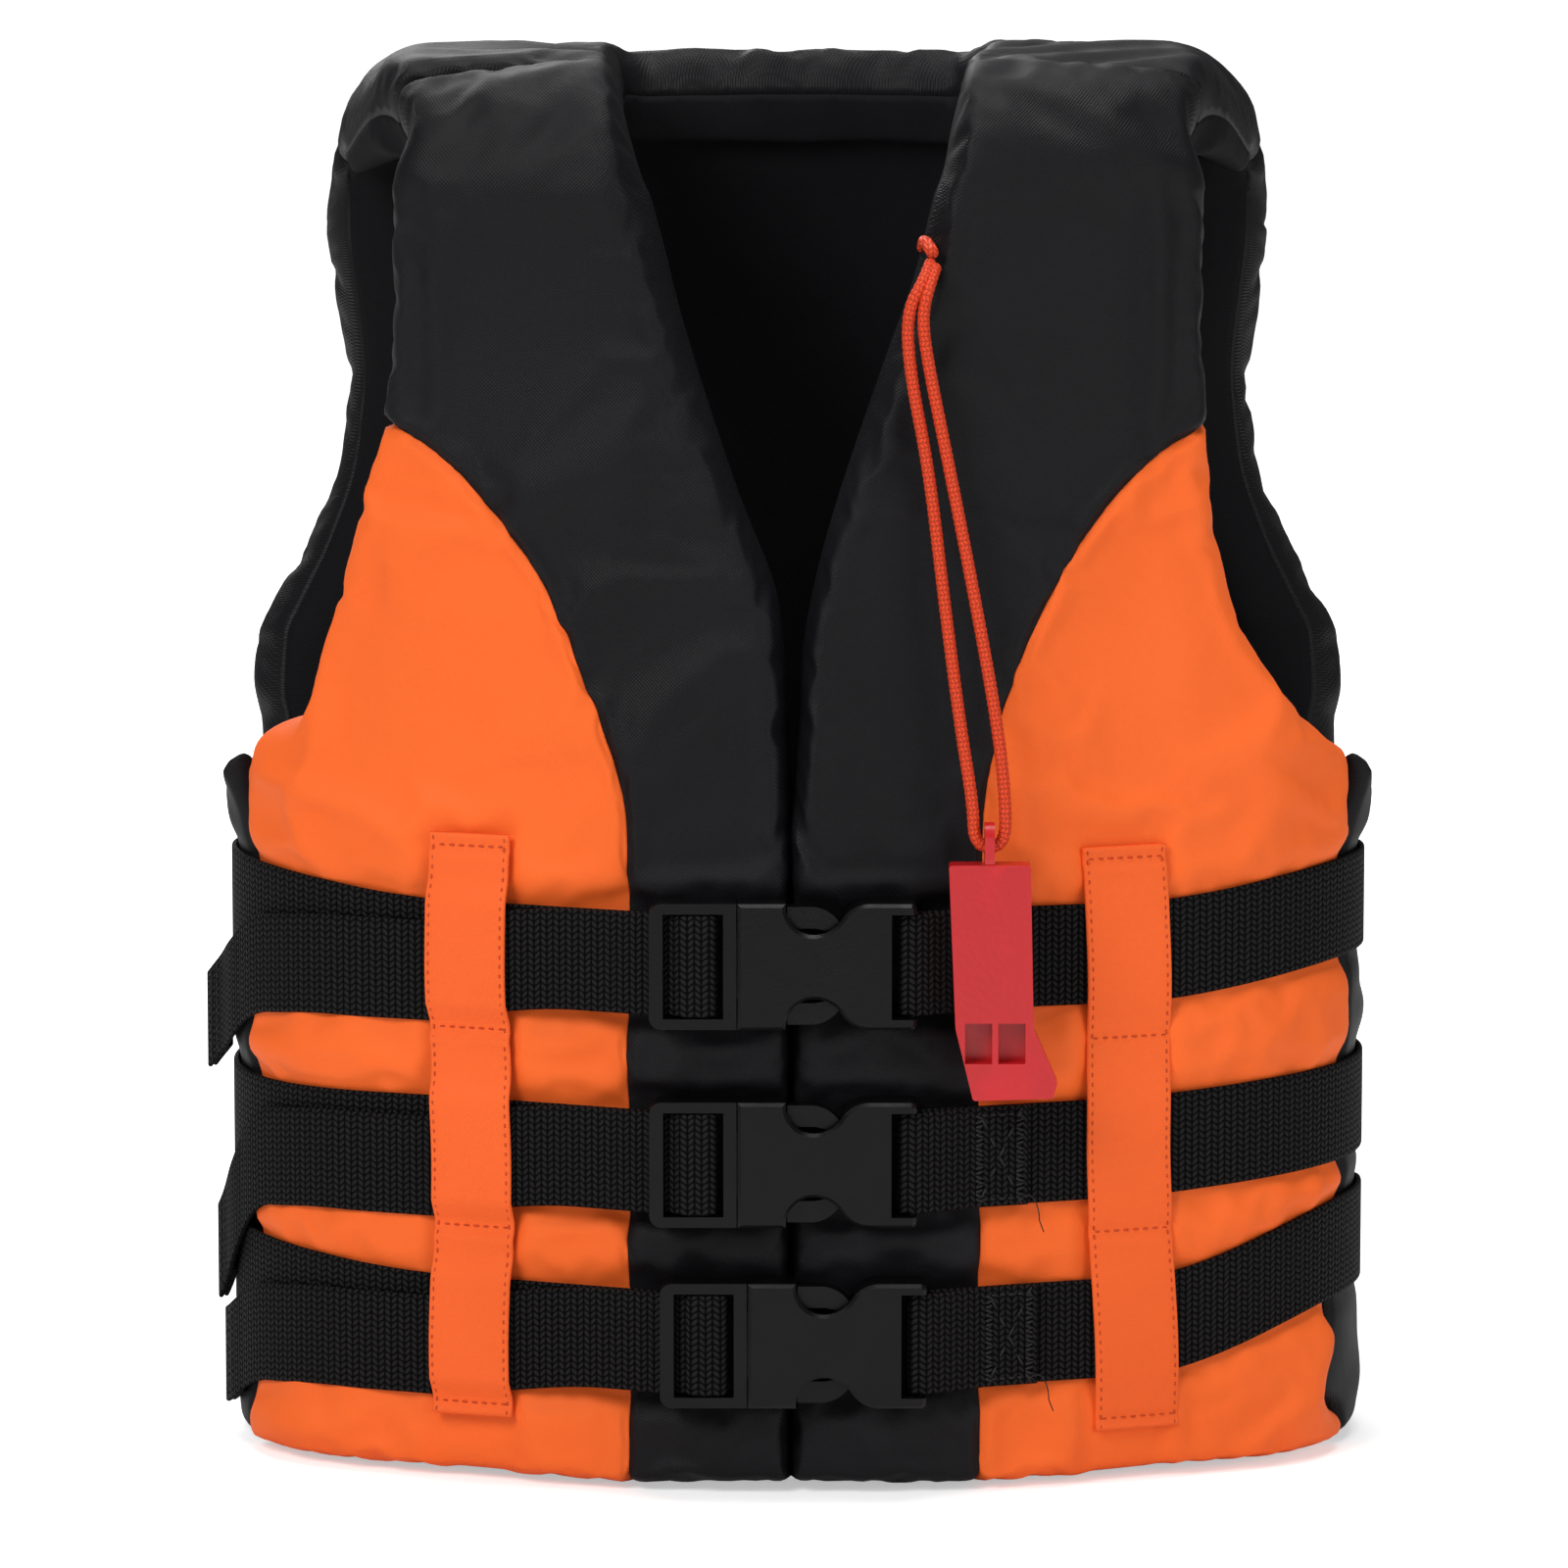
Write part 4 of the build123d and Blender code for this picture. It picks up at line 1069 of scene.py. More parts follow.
def build_back(sizes):
    """Back panel: one cover, from armhole to armhole, with its foam and lining."""
    arm = [
        (flank(24), 168), (flank(30), 170), (flank(36), 181), (flank(40.5), 198), (flank(45), 219),
        (flank(48.6), 238), (flank(49.5), 262), (flank(49.5), 290), (flank(49.6), 314),
        wall_over(112.6, 47.5), wall_over(111.9, 42),
    ]
    shoulder = [wall_over(x, 42) for x in (111.9, 95, 75, 58, 46)]
    corner = [shoulder[-1], wall_over(43.5, 49), wall_over(40.5, 54)]
    neck = [wall_over(x, 55.5 + 0.8 * math.sin(x * 0.4)) for x in (40.5, 30, 20, 10, 0.01)]
    hem = [(u, 1.6 + 1.4 * math.sin(u * 0.08)) for u in np.linspace(-flank(24), flank(24), 19)]
    mirror = lambda points: [(-u, t) for u, t in points[::-1]]
    edges = [
        (hem, 8.0),
        ([hem[-1], (flank(24), 80), (flank(24), 168)], 5.0),
        (arm, 8.0), (shoulder, 2.5), (corner, 6.0),
        (neck + mirror(neck)[1:], 6.0),
        (mirror(corner), 6.0), (mirror(shoulder), 2.5), (mirror(arm), 8.0),
        ([(-flank(24), 168), (-flank(24), 80), hem[0]], 5.0),
    ]
    pattern = Pattern(edges, sizes.spacing * 1000 * 1.15)
    p = pattern.points
    depth, free = front_depth(p * [0.001, 1] + [500, 0], sizes)
    lines = [
        (-100, 330, -70, 300, 7, 1.2), (100, 330, 74, 296, 7, 1.2), (-30, 345, -22, 318, 4, 1.0),
        (8, 348, 4, 322, 4, 1.1), (32, 346, 24, 316, 4, 1.0), (-128, 240, -112, 300, 6, 1.6),
        (128, 240, 112, 300, 6, 1.6), (-140, 180, -120, 196, 5, 1.4), (140, 180, 122, 200, 5, 1.4),
        (-60, 160, -20, 190, 10, 1.2), (60, 190, 20, 160, 10, 1.2), (0, 240, 0, 170, 9, -0.9),
    ]
    depth += (folds(p, lines) + ripple(p, 21, 70, 0.7)) * smoothstep(free, 0.0, 0.6)
    return panel(
        "back", pattern, lambda q, d: on_wall(q, d, back=True), depth, sizes,
        [("back_black", "black_cloth")],
        ("back_inside", "lining_cloth"), 1 - smoothstep(free, 0.05, 0.5), back=True, warp=wing,
    )


def build_shoulder(side, sizes):
    """Padded yoke over one shoulder."""
    sign = SIDES[side]
    inner = (39.6, 44.5) if side == "left" else (43.2, 44.5)
    out = lambda y: 97 + 16 * (y + 60) / 110
    edges = [
        ([(inner[0], -41.6), (out(-41.6), -41.6)], 2.5),
        ([(out(y), y) for y in (-41.6, -20, 0, 20, 41.6)], 7.0),
        ([(out(41.6), 41.6), (inner[1], 41.6)], 2.5),
        ([(inner[1], 41.6), (inner[1] - 0.5, 25), (inner[0] + 1.5, 0), (inner[0], -25), (inner[0], -41.6)],
         6.0),
    ]
    pattern = Pattern(mirrored(edges, sign), sizes.spacing * 1000)
    p = pattern.points * [sign, 1]
    lines = [
        (60, -30, 90, -12, 5, 1.2), (55, 5, 96, 18, 6, 1.4), (62, 34, 90, 26, 5, 1.0),
        (104, -30, 108, 20, 4, 1.2),
    ]
    depth = 0.4 + folds(p, lines) + ripple(p, 31 + sign, 40, 0.5)
    return panel(
        f"shoulder_{side}", pattern, on_top, depth, sizes, [(f"shoulder_{side}_black", "black_cloth")],
        (f"shoulder_{side}_inside", "lining_cloth"), np.zeros(len(p)), warp=wing, caps=(0.002, 0.0015),
    )


def build_gusset(side, sizes):
    """Black cloth panel at one side, two layers sewn round their edge."""
    sign = SIDES[side]
    a, b = flank(23.2), 2 * (SIDE_START + SIDE_R * (math.pi / 2 - JOIN)) - flank(23.2)
    b += 1.5
    tall = 176
    front_edge = [(a, tall), (a, 90), (a, 1.2)] if side == "right" else [
        (a, tall), (a, 64), (a - 6, 46), (a - 10, 29), (a - 13.5, 16), (a - 3, 9), (a, 1.2)]
    edges = [
        ([(a, 1.2), ((a + b) / 2, 2.4), (b, 1.2)], 3.5),
        ([(b, 1.2), (b, 90), (b, 171)], 3.5),
        ([(b, 171), ((a + b) / 2 + 6, 165), ((a + b) / 2 - 8, 167), (a + 4, tall - 3), (a, tall)], 3.5),
        (front_edge, 3.5),
    ]
    pattern = Pattern(mirrored(edges, sign), sizes.spacing * 1000 * 0.9)
    p = pattern.points * [sign, 1]
    crown = pattern.crown
    free = np.ones(len(p))
    plan = on_wall(p, 0)[:, :2]
    for name, (level, _) in LEVELS.items():
        free *= smoothstep(np.abs(p[:, 1] - level - climb(name, side, plan)), 12, 19)
    lines = [
        (a + 8, 60, b - 8, 64, 4, 1.2), (a + 6, 108, b - 4, 112, 4, 1.4), (a + 5, 12, b - 8, 20, 5, 1.4),
        (a + 6, 150, a + 20, 166, 5, 1.4),
    ]
    swell = (ripple(p, 41 + sign, 30, 0.8) + folds(p, lines)) * free
    flare = 5.0 * smoothstep(p[:, 1], 150, 175) * (1 - smoothstep(p[:, 0], a + 4, a + 34))
    front = -3.6 + (3.4 + (1.2 + swell * 0.8) * free) * crown + flare
    rear = -3.6 - 4.6 * crown + flare
    count = len(p)
    faces = [tuple(f) for f in pattern.faces]
    edge = set()
    for f in faces:
        for i, j in zip(f, f[1:] + f[:1]):
            edge.add((i, j))
    rim = {i for i, j in edge if (j, i) not in edge} | {j for i, j in edge if (j, i) not in edge}
    twin = {i: (i if i in rim else i + count) for i in range(count)}
    verts = np.vstack([on_wall(pattern.points, front), on_wall(pattern.points, rear)])
    both = faces + [tuple(twin[i] for i in f[::-1]) for f in faces]
    used = sorted({i for f in both for i in f})
    index = {v: i for i, v in enumerate(used)}
    both = np.array([[index[i] for i in f] for f in both])
    flat = np.vstack([pattern.points, pattern.points])[used]
    verts, uv, both, _ = refine(verts[used], flat, both, np.zeros(len(both), int))
    obj = new_mesh(f"gusset_{side}", verts, both, uv, ["black_cloth"])
    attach(obj, "vest")
    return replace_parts(obj, f"side_{side}_gusset")


# ---- Operators ----
class OBJECT_OT_jacket_stage(bpy.types.Operator):
    """Makes the camera, the lights and the pale floor."""

    bl_idname = "object.jacket_stage"
    bl_label = "Stage"

    # The camera's rise, what it looks at and from how far; its sensor and what that spans there
    LIFT, AIM, AWAY = math.radians(8.0), Vector((-0.0036, -0.08, 0.1771)), 1.92
    SENSOR, FIELD = 36, 0.381
    # Each lamp's name, place, size and power
    LIGHTS = (
        ("Key", (-1.1, -1.5, 1.5), 0.9, 27), ("Fill", (1.5, -1.6, 0.7), 1.2, 12),
        ("Top", (0.1, 0.1, 1.9), 1.2, 22), ("Rear", (-0.6, 1.9, 1.3), 1.2, 15),
    )
    # How much brighter the sky is to the camera than to the object, and its light on the object
    SKY_SEEN, SKY_LIGHT = 0.88, 0.12
    FLOOR_REACH, FLOOR_CELLS = 24000.0, 24

    def execute(self, context):
        scene = context.scene
        scene.view_settings.view_transform = "Standard"
        back = Vector((0, -math.cos(self.LIFT), math.sin(self.LIFT)))
        lens = bpy.data.cameras.new("Camera")
        lens.sensor_width = self.SENSOR
        lens.lens = self.SENSOR * self.AWAY / self.FIELD
        lens.clip_start, lens.clip_end = 0.05, 100
        camera = bpy.data.objects.new("Camera", lens)
        scene.collection.objects.link(camera)
        camera.location = self.AIM + back * self.AWAY
        camera.rotation_mode = "QUATERNION"
        camera.rotation_quaternion = (-back).to_track_quat("-Z", "Y")
        scene.camera = camera
        for name, place, size, power in self.LIGHTS:
            light = bpy.data.lights.new(name, "AREA")
            light.size = size
            light.energy = power
            lamp = bpy.data.objects.new(name, light)
            scene.collection.objects.link(lamp)
            lamp.location = place
            lamp.rotation_mode = "QUATERNION"
            lamp.rotation_quaternion = (Vector(place) - Vector((0, 0, 0.15))).to_track_quat("Z", "Y")
        world = bpy.data.worlds.new("World")
        world.use_nodes = True
        sky = world.node_tree
        sky.nodes["Background"].inputs[0].default_value = (1, 1, 1, 1)
        straight = add_node(sky, "LightPath").outputs["Is Camera Ray"]
        sky.links.new(
            maths(sky, "MULTIPLY_ADD", straight, self.SKY_SEEN, self.SKY_LIGHT),
            sky.nodes["Background"].inputs[1],
        )
        scene.world = world
        row = self.FLOOR_CELLS + 1
        grid = np.linspace(-self.FLOOR_REACH, self.FLOOR_REACH, row)
        verts = [(x, y, -0.3) for y in grid for x in grid]
        starts = [i * row + j for i in range(row - 1) for j in range(row - 1)]
        faces = [(k, k + 1, k + row + 1, k + row) for k in starts]
        floor = new_mesh("floor", verts, faces, np.array(verts)[:, :2], eased=False)
        colours = scene.jacket_colours
        material, tree, shader = surface("floor_paper", {"Roughness": 0.9, "Specular IOR Level": 0.1})
        place = add_node(tree, "TexCoord").outputs["Object"]
        grain = add_node(tree, "TexNoise", {"Vector": place, "Scale": 300.0, "Detail": 2.0}).outputs[0]
        tone = mix_colour(tree, grain, (*colours.floor, 1), (*scaled(colours.floor, 0.99), 1))
        tree.links.new(tone, shader.inputs["Base Color"])
        shader.inputs["Emission Color"].default_value = (1, 1, 1, 1)
        straight = add_node(tree, "LightPath").outputs["Is Camera Ray"]
        spread = maths(tree, "MULTIPLY_ADD", distance(tree, place), 0.5, 0.42)
        glow = maths(tree, "MULTIPLY", straight, maths(tree, "MINIMUM", spread, 1.0))
        tree.links.new(glow, shader.inputs["Emission Strength"])
        floor.data.materials.append(material)
        return {"FINISHED"}


class OBJECT_OT_jacket_cord(bpy.types.Operator):
    """Makes the whistle's cord: one braided loop from the neck seam through the whistle's ring."""

    bl_idname = "object.jacket_cord"
    bl_label = "Whistle cord"

    ROUTE = [
        (31.8, -79.4, 303.4), (30.4, -84.8, 300.0), (25.9, -86.2, 292), (26.8, -85.8, 277),
        (31.4, -85.8, 254), (35.3, -86.8, 221), (39.2, -88.0, 191), (42.2, -89.3, 173),
        (42.6, -89.5, 162.3), (50.0, -89.5, 162.3), (50.2, -89.4, 173), (48.3, -88.3, 191),
        (42.9, -87.0, 221), (36.4, -86.0, 254), (31.2, -85.7, 279), (29.6, -86.2, 291),
        (31.4, -85.4, 298.5), (33.0, -80.0, 302.4),
    ]
    TUCK = [(30.2, -64.0, 303.0), (30.4, -68.5, 304.6), (31.0, -74.5, 304.6), (32.3, -80.2, 302.8)]

    def execute(self, context):
        sizes = context.scene.jacket_sizes
        curve = bpy.data.curves.new("cord_line", "CURVE")
        curve.dimensions = "3D"
        curve.resolution_u = 36
        spline = curve.splines.new("NURBS")
        spline.points.add(len(self.ROUTE) - 1)
        for point, (x, y, z) in zip(spline.points, self.ROUTE):
            point.co = (x / 1000, (y + MIDDLE_Y) / 1000, z / 1000, 1)
        spline.order_u = 3
        spline.use_endpoint_u = True
        guide = bpy.data.objects.new("cord_line", curve)
        context.scene.collection.objects.link(guide)
        context.view_layer.update()
        read = bpy.data.meshes.new_from_object(guide.evaluated_get(context.evaluated_depsgraph_get()))
        line = np.array([v.co[:] for v in read.vertices]) * 1000
        bpy.data.objects.remove(guide)
        bpy.data.meshes.remove(read)
        line -= [0, MIDDLE_Y, 0]
        centre = spaced(line, 0.45, rounded=False)
        ahead = np.gradient(centre, axis=0)
        ahead /= np.linalg.norm(ahead, axis=1)[:, None]
        side = np.cross(ahead[0], [0, 1, 0.1])
        radius, sides = sizes.cord * 500, 20
        verts, uv = [], []
        for i, (c, a) in enumerate(zip(centre, ahead)):
            side = side - a * (side @ a)
            side /= np.linalg.norm(side)
            other = np.cross(a, side)
            for k in range(sides):
                angle = 2 * math.pi * k / sides
                weave = 0.09 * math.cos(5 * angle + i * 0.45 * 1.9) * math.cos(5 * angle - i * 0.45 * 1.9)
                r = radius * (0.95 + weave)
                verts.append(c + r * (math.cos(angle) * side + math.sin(angle) * other))
                uv.append((i * 0.45, angle * radius))
        cord = new_mesh("cord", verts, tube_faces(len(centre), sides), uv, ["cord_braid"], eased=False)
        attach(cord, "lanyard")
        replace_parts(cord, "whistle_cord")
        tuck = spaced(self.TUCK, 0.5, rounded=False)
        root = strand("cord_root", tuck, sizes.cord * 500, "cord_braid", sides=16)
        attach(root, "vest")
        return {"FINISHED"}


class OBJECT_OT_jacket_fronts(bpy.types.Operator):
    """Makes both front panels, black at the centre and orange at the side."""

    bl_idname = "object.jacket_fronts"
    bl_label = "Front panels"

    def execute(self, context):
        for side in SIDES:
            (black, orange), lining, foam = build_front(side, context.scene.jacket_sizes)
            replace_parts(black, f"front_{side}_black_cover")
            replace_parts(orange, f"front_{side}_orange_cover")
            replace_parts(lining, f"front_{side}_lining")
            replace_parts(foam, f"front_{side}_foam")
        return {"FINISHED"}


class OBJECT_OT_jacket_back(bpy.types.Operator):
    """Makes the back panel."""

    bl_idname = "object.jacket_back"
    bl_label = "Back panel"

    def execute(self, context):
        (cover,), lining, foam = build_back(context.scene.jacket_sizes)
        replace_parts(cover, "back_cover")
        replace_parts(lining, "back_lining")
        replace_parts(foam, "back_foam")
        return {"FINISHED"}


class OBJECT_OT_jacket_shoulders(bpy.types.Operator):
    """Makes both shoulder yokes."""

    bl_idname = "object.jacket_shoulders"
    bl_label = "Shoulder yokes"

    def execute(self, context):
        for side in SIDES:
            (cover,), lining, foam = build_shoulder(side, context.scene.jacket_sizes)
            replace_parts(cover, f"shoulder_{side}_cover")
            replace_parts(lining, f"shoulder_{side}_lining")
            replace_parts(foam, f"shoulder_{side}_pad")
        return {"FINISHED"}


class OBJECT_OT_jacket_gussets(bpy.types.Operator):
    """Makes both side gussets."""

    bl_idname = "object.jacket_gussets"
    bl_label = "Side gussets"

    def execute(self, context):
        for side in SIDES:
            build_gusset(side, context.scene.jacket_sizes)
        return {"FINISHED"}


class OBJECT_OT_jacket_strips(bpy.types.Operator):
    """Makes the orange strips that hold the belts, with their stitches."""

    bl_idname = "object.jacket_strips"
    bl_label = "Loop strips"

    def execute(self, context):
        sizes = context.scene.jacket_sizes
        for side, (top_x, low_x, width, over, base, sag, rows) in {
            "left": (78.3, 81.8, 21.0, 3.0, 2.2, 0.0, (16.4, 63.6, 112.0, 156.5)),
            "right": (78.8, 78.2, 20.0, 5.9, 3.5, 2.5, (20.5, 65.0, 114.5, 159.5)),
        }.items():
            sign = SIDES[side]
            t = np.arange(rows[0] - 3.1, rows[-1] + 3.2, 1.0)
            x = low_x + (top_x - low_x) * (t - t[0]) / (t[-1] - t[0]) + 0.5 * np.sin(t * 0.06)
            u = FRONT_R * np.arcsin(x / FRONT_R)
            rise = np.full(len(t), base + 0.4)
            for level, _ in LEVELS.values():
                away = np.abs(t - level + sag) - sag
                rise = np.maximum(rise, over - (over - base - 0.4) * smoothstep(away, 12.6, 19.0))
            rise = np.convolve(np.pad(rise, 2, mode="edge"), np.ones(5) / 5, "valid")
            rise += 0.15 * np.sin(t * 0.21)
            for row in rows:
                rise = np.minimum(rise, base + 0.5 * np.maximum(0, np.abs(t - row) - 1.2))
            place = lambda du, extra=0.0: on_wall(np.stack([sign * (u + du), t], 1), rise + extra)
            centre = place(0)
            across = place(1) - place(-1)
            thick = sizes.tape_thick * 1000
            strip = ribbon(f"strip_{side}", centre, across, width, thick, "orange_tape", cells=8)
            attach(strip, "vest")
            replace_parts(strip, f"{side}_loop_strip")
            marks = []
            lift = sizes.tape_thick * 500 + 0.05
            pitch = sizes.stitch * 1000
            for du in (-width / 2 + 1.3, width / 2 - 1.3):
                line = spaced(place(du, lift), pitch, rounded=False)
                normal = place(du, lift + 1) - place(du, lift)
                step = np.linspace(0, len(normal) - 1, len(line)).astype(int)
                for i in range(len(line) - 1):
                    gap = line[i + 1] - line[i]
                    marks.append((line[i] + gap * 0.14, line[i] + gap * 0.8, normal[step[i]]))
            for row in rows:
                i = int(np.abs(t - row).argmin())
                for k in np.arange(-width / 2 + 1.4, width / 2 - 2.2, pitch):
                    pair = [[sign * (u[i] + k), row], [sign * (u[i] + k + pitch * 0.7), row]]
                    ends = on_wall(np.array(pair), rise[i] + lift)
                    marks.append((ends[0], ends[1], (0, -1, 0)))
            stitches = threads(f"strip_{side}_stitches", marks, "orange_thread")
            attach(stitches, "vest")
        return {"FINISHED"}


class OBJECT_OT_jacket_belts(bpy.types.Operator):
    """Makes the belts, their ends through the adjusters and their free tails."""

    bl_idname = "object.jacket_belts"
    bl_label = "Belts"

    def execute(self, context):
        sizes = context.scene.jacket_sizes
        width, thick = sizes.web_width * 1000, sizes.web_thick * 1000
        lie = CLEARANCE + thick / 2
        over = lie + thick + 0.25
        up = np.array([0, 0, 1.0])
        for name, (level, shift) in LEVELS.items():
            stand = lambda plan, z: np.column_stack([plan, np.broadcast_to(z, len(plan))])
            bar = 28.2 + shift
            bend = FEMALE_BAR + CLEARANCE + thick / 2
            near, far = BAR_Y + bend, BAR_Y - bend
            start = tangent_angle(bar, near, lie)
            entry = (-34.0 + shift, -84.75)
            end = tangent_angle(*entry, lie)
            touch = on_front(start, lie, 1)
            slope = (touch[1] - near) / (touch[0] - bar)
            lap = thick + 0.25
            lead = rounded_line(
                [(bar + 29, near + slope * 29 - lap), (bar + 15, near + slope * 15 - lap), (bar + 1, far),
                 (bar - bend, far), (bar - bend, near), (bar + 1, near + slope), touch],
                [12, 3, bend * 0.97, bend * 0.97, 3],
            )
            round_run = front_run(lie, FRONT_R * start, SIDE_START, 2.5)[1:]
            side_run = front_run(lie, SIDE_START, SIDE_END, 2.0)[1:]
            back_run = front_run(lie, SIDE_END, SIDE_END + SIDE_START, 2.5)[1:]
            half = np.vstack([round_run, side_run, back_run])
            other = np.vstack([back_run[::-1], side_run[::-1]]) * [-1, 1]
            last = front_run(lie, -SIDE_START, -FRONT_R * end, 2.5)
            plan = spaced(np.vstack([lead, half, other[1:], last]), 0.8, rounded=False)
            wander = 0.5 * np.sin(np.arange(len(plan)) * 0.8 * 0.045 + level)
            steps = np.arange(len(plan))
            hold = smoothstep(steps * 0.8, 60, 130) * smoothstep((len(plan) - steps) * 0.8, 40, 110)
            rise = np.where(plan[:, 0] > 0, climb(name, "left", plan), climb(name, "right", plan))
            run = stand(plan, level + wander * hold + rise)
            belt = ribbon(f"webbing_{name}", run, up, width, thick, "webbing", cells=6)
            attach(belt, "vest")
            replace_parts(belt, f"belt_{name}")

            tail_start = (entry[0] - 2, entry[1] - 2.05)
            meet = on_front(tangent_angle(*entry, lie), lie, -1)
            leave = tangent_angle(*tail_start, over)
            turn = MALE_BAR / 2 + CLEARANCE + thick / 2
            right = MALE_BAR_X[1] + turn * 0.65 + shift
            lead = rounded_line(
                [meet, entry, (MALE_BAR_X[0] + shift, MALE_BAR_Y + turn), (right, MALE_BAR_Y + turn),
                 (right, MALE_BAR_Y - turn), (MALE_BAR_X[0] - 0.6 + shift, MALE_BAR_Y - turn),
                 (MALE_BAR_X[0] - 5.7 + shift, tail_start[1] - 0.05), tail_start, on_front(leave, over, -1)],
                [6, 6, turn * 0.97, turn * 0.97, 1.2, 1.2, 2],
            )
            rest = front_run(over, -FRONT_R * leave, -FRONT_R * TAIL_ROOT, 2.0)[1:]
            plan = spaced(np.vstack([lead, rest]), 0.7, rounded=False)
            length = np.arange(len(plan)) * 0.7
            slant = 5.0 * smoothstep(length, length[-1] - 42, length[-1] + 14) / float(smoothstep(42, 0, 56))
            threaded = ribbon(
                f"webbing_{name}_threaded", stand(plan, level - slant), up, width, thick, "webbing", cells=6
            )
            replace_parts(threaded, f"belt_{name}_adjuster")
            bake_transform(threaded)

            off = 202.0
            root = front_run(over, -FRONT_R * (TAIL_ROOT + 0.0006), -SIDE_START, 1.2)
            bent = SIDE_START + SIDE_R * (math.radians(270 - off) - JOIN)
            flank_run = front_run(over, -SIDE_START, -bent, 1.2)[1:]
            heading = np.array([math.sin(math.radians(off)), -math.cos(math.radians(off))])
            reach, hang = HANG[name]
            sway = np.arange(1.0, reach, 1.0)
            waver = (1.2 * np.sin(sway * 0.28))[:, None] * [-0.4, 0]
            loose = flank_run[-1] + sway[:, None] * heading + waver
            plan = np.vstack([root, flank_run, loose])
            tip = plan[-1, 0]
            height = level - np.interp(-plan[:, 0], [-plan[0, 0], 118, 133, -tip], [5.0, 5.5, 8.5, hang])
            height = np.pad(height, 6, mode="reflect", reflect_type="odd")
            height = np.convolve(height, np.ones(13) / 13, "valid")
            line = spaced(stand(plan, height), 0.8, rounded=False)
            tail = ribbon(f"webbing_{name}_tail", line, up, width, thick, "webbing", cells=6)
            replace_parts(tail, f"belt_{name}_tail")
            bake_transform(tail)
            ahead = line[-1] - line[-6]
            ahead /= np.linalg.norm(ahead)
            outward = np.cross(up, ahead)
            outward /= np.linalg.norm(outward)
            turned = line[-16:] - outward * 1.45
            fold = ribbon(f"webbing_{name}_fold", turned, up, width - 0.6, thick, "webbing", cells=6)
            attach(fold, f"{name}_tail")
            marks = []
            for back_step in (5, 11):
                at = line[-back_step] + outward * (thick / 2 + 0.05)
                for k in np.arange(-width / 2 + 1.2, width / 2 - 2.5, 2.3):
                    marks.append((at + up * k, at + up * (k + 1.6), outward))
            sewn = threads(f"webbing_{name}_tail_stitches", marks, "black_thread")
            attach(sewn, f"{name}_tail")

            marks = []
            lap_y = lambda x: near + slope * (x - bar) - lap - thick / 2 - 0.05
            for x in (bar + 17.0, bar + 27.0):
                for k in np.arange(-width / 2 + 1.5, width / 2 - 2.2, 1.15):
                    tilt = 1.1 if int(k * 10) % 2 else -1.1
                    y = lap_y(x) - 0.05
                    marks.append(((x - tilt, y, level + k), (x + tilt, y, level + k + 0.8), (0, -1, 0)))
            for sign in (-1, 1):
                for x in np.arange(bar + 17.5, bar + 26.5, 2.2):
                    k = sign * (width / 2 - 2.0)
                    marks.append(((x, lap_y(x), level + k), (x + 1.6, lap_y(x + 1.6), level + k), (0, -1, 0)))
                    slant = (x - bar - 17.5) / 9 * (width - 5)
                    low = level + sign * (slant - width / 2 + 2.5)
                    high = level + sign * (slant + 2.6 - width / 2 + 2.5)
                    marks.append(((x, lap_y(x), low), (x + 1.4, lap_y(x), high), (0, -1, 0)))
            tack = threads(f"bartack_{name}", marks, "black_thread", radius=0.3)
            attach(tack, "vest")
            if name != "top":
                run = np.arange(0, 1.01, 0.04)
                curl = np.stack([
                    bar + 27.5 + 7 * run + 1.5 * np.sin(run * 5),
                    lap_y(bar + 27) - 0.5 - 1.5 * np.sin(run * math.pi),
                    level - width / 2 + 2 - 9 * run**1.5 + 1.2 * np.sin(run * 9),
                ], 1)
                end = strand(f"loose_thread_{name}", curl, 0.16, "black_thread")
                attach(end, "vest")
        return {"FINISHED"}


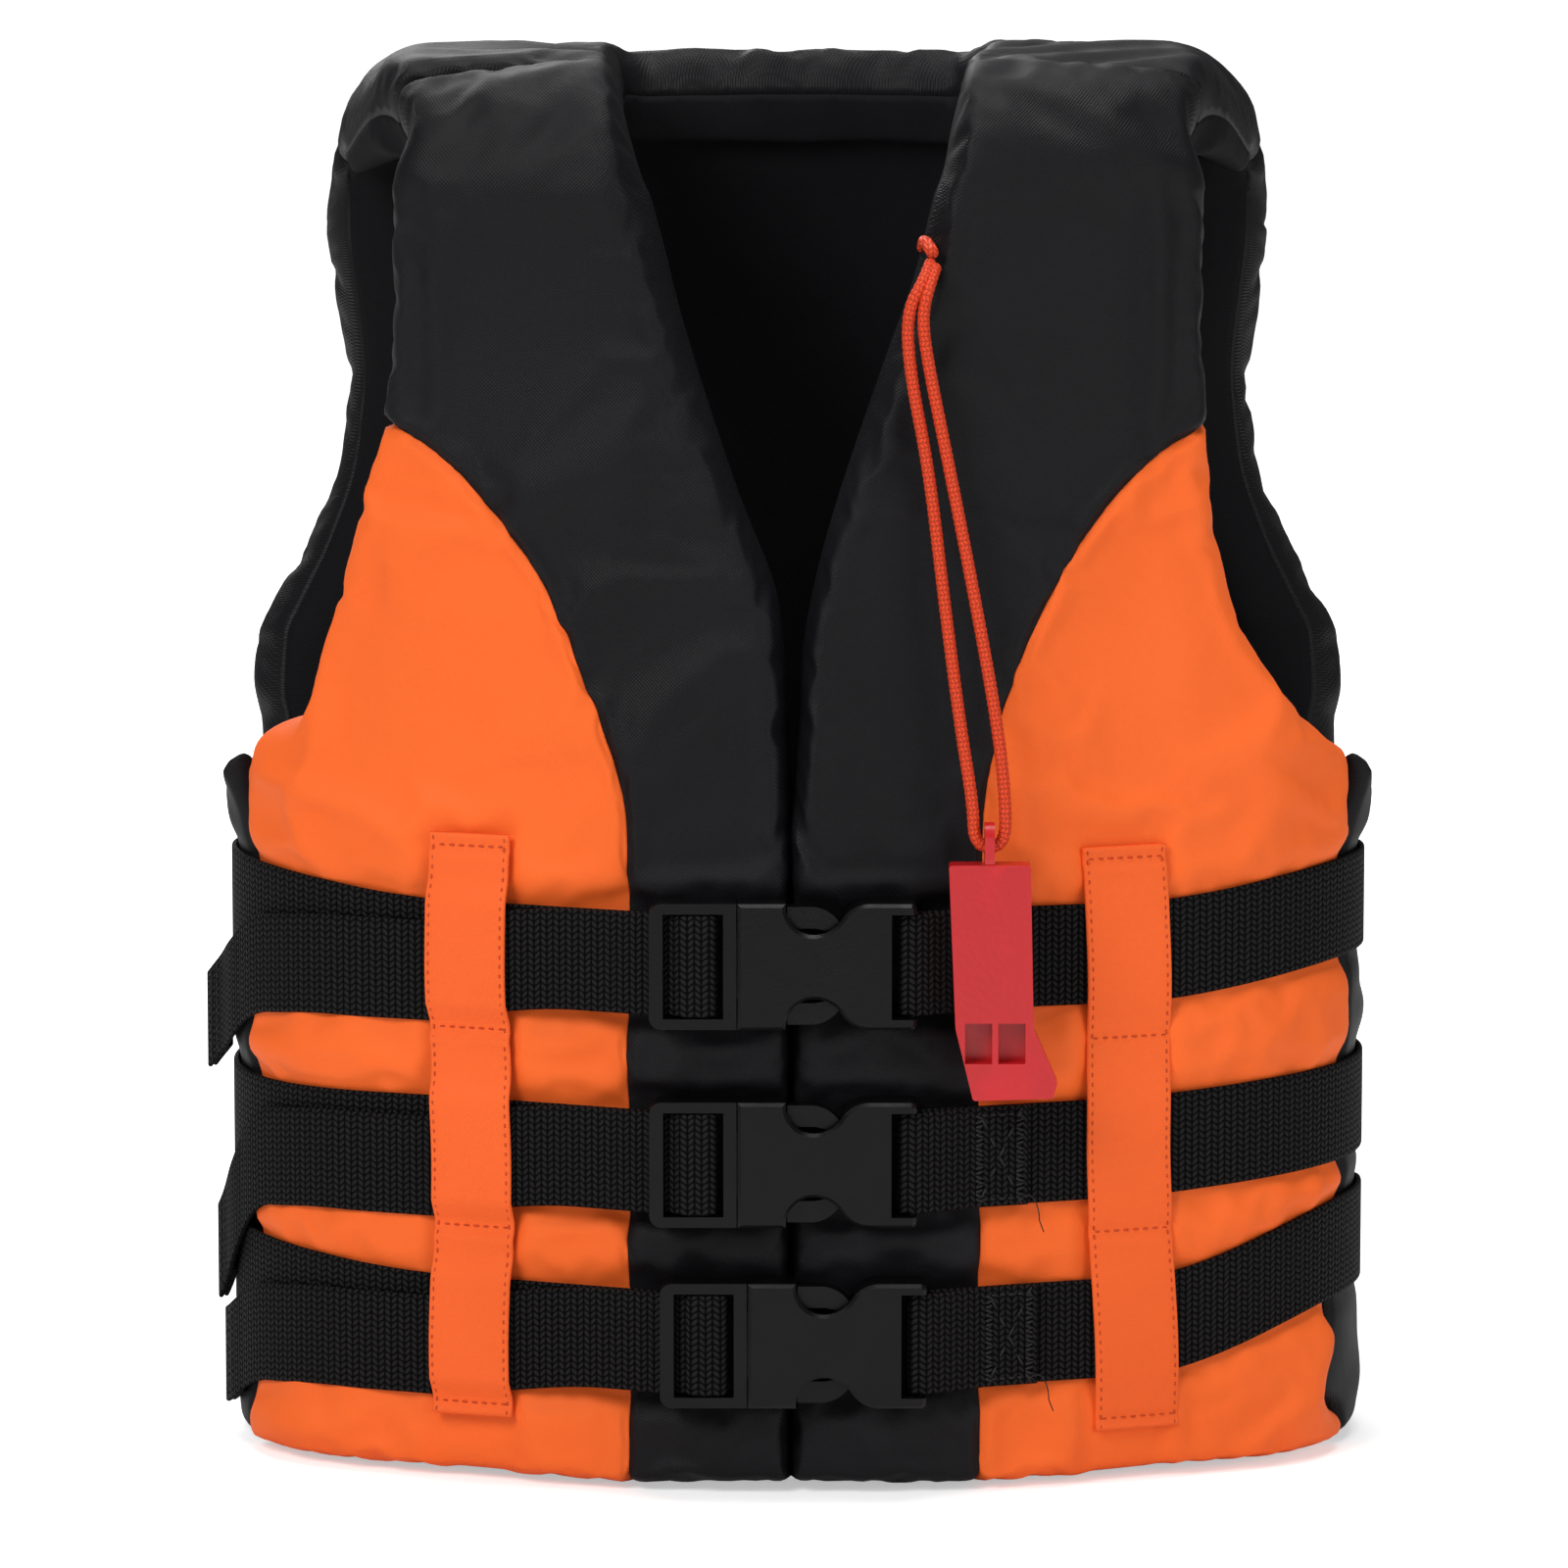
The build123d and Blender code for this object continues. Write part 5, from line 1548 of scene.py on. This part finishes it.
class OBJECT_OT_jacket_fittings(bpy.types.Operator):
    """Gives the buckles and the whistle their moulded finishes."""

    bl_idname = "object.jacket_fittings"
    bl_label = "Buckles and whistle"

    def execute(self, context):
        for name, obj in NODES.items():
            if name.startswith("buckle_") or name == "whistle":
                finish = finish_of("whistle_plastic" if name == "whistle" else "buckle_plastic")
                obj.data.materials.clear()
                obj.data.materials.append(finish)
                edge = obj.modifiers.new("Softened edges", "BEVEL")
                edge.width = 0.0004
                edge.segments = 2
                edge.limit_method = "ANGLE"
                edge.angle_limit = math.radians(40)
                edge.harden_normals = True
        return {"FINISHED"}


class VIEW3D_PT_jacket(bpy.types.Panel):
    """Lists the jacket's pieces, sizes and colours."""

    bl_label = "Life jacket"
    bl_idname = "VIEW3D_PT_jacket"
    bl_space_type = "VIEW_3D"
    bl_region_type = "UI"
    bl_category = "Life jacket"

    def draw(self, context):
        for group in (context.scene.jacket_sizes, context.scene.jacket_colours):
            box = self.layout.box()
            for key in group.__annotations__:
                box.prop(group, key)
        for operator in OPERATORS:
            self.layout.operator(operator.bl_idname)


OPERATORS = (
    OBJECT_OT_jacket_stage, OBJECT_OT_jacket_cord, OBJECT_OT_jacket_fronts, OBJECT_OT_jacket_back,
    OBJECT_OT_jacket_shoulders, OBJECT_OT_jacket_gussets, OBJECT_OT_jacket_strips,
    OBJECT_OT_jacket_belts, OBJECT_OT_jacket_fittings,
)
CLASSES = (JacketSizes, JacketColours, *OPERATORS, VIEW3D_PT_jacket)


def register():
    """Registers the sizes, the colours, the operators and the panel."""
    for entry in CLASSES:
        bpy.utils.register_class(entry)
    bpy.types.Scene.jacket_sizes = PointerProperty(type=JacketSizes)
    bpy.types.Scene.jacket_colours = PointerProperty(type=JacketColours)


def unregister():
    """Takes them out again."""
    del bpy.types.Scene.jacket_colours
    del bpy.types.Scene.jacket_sizes
    for entry in reversed(CLASSES):
        bpy.utils.unregister_class(entry)


def main():
    """Builds the whole jacket."""
    register()
    for operator in OPERATORS:
        group, name = operator.bl_idname.split(".")
        getattr(getattr(bpy.ops, group), name)()


if __name__ == "__main__":
    main()
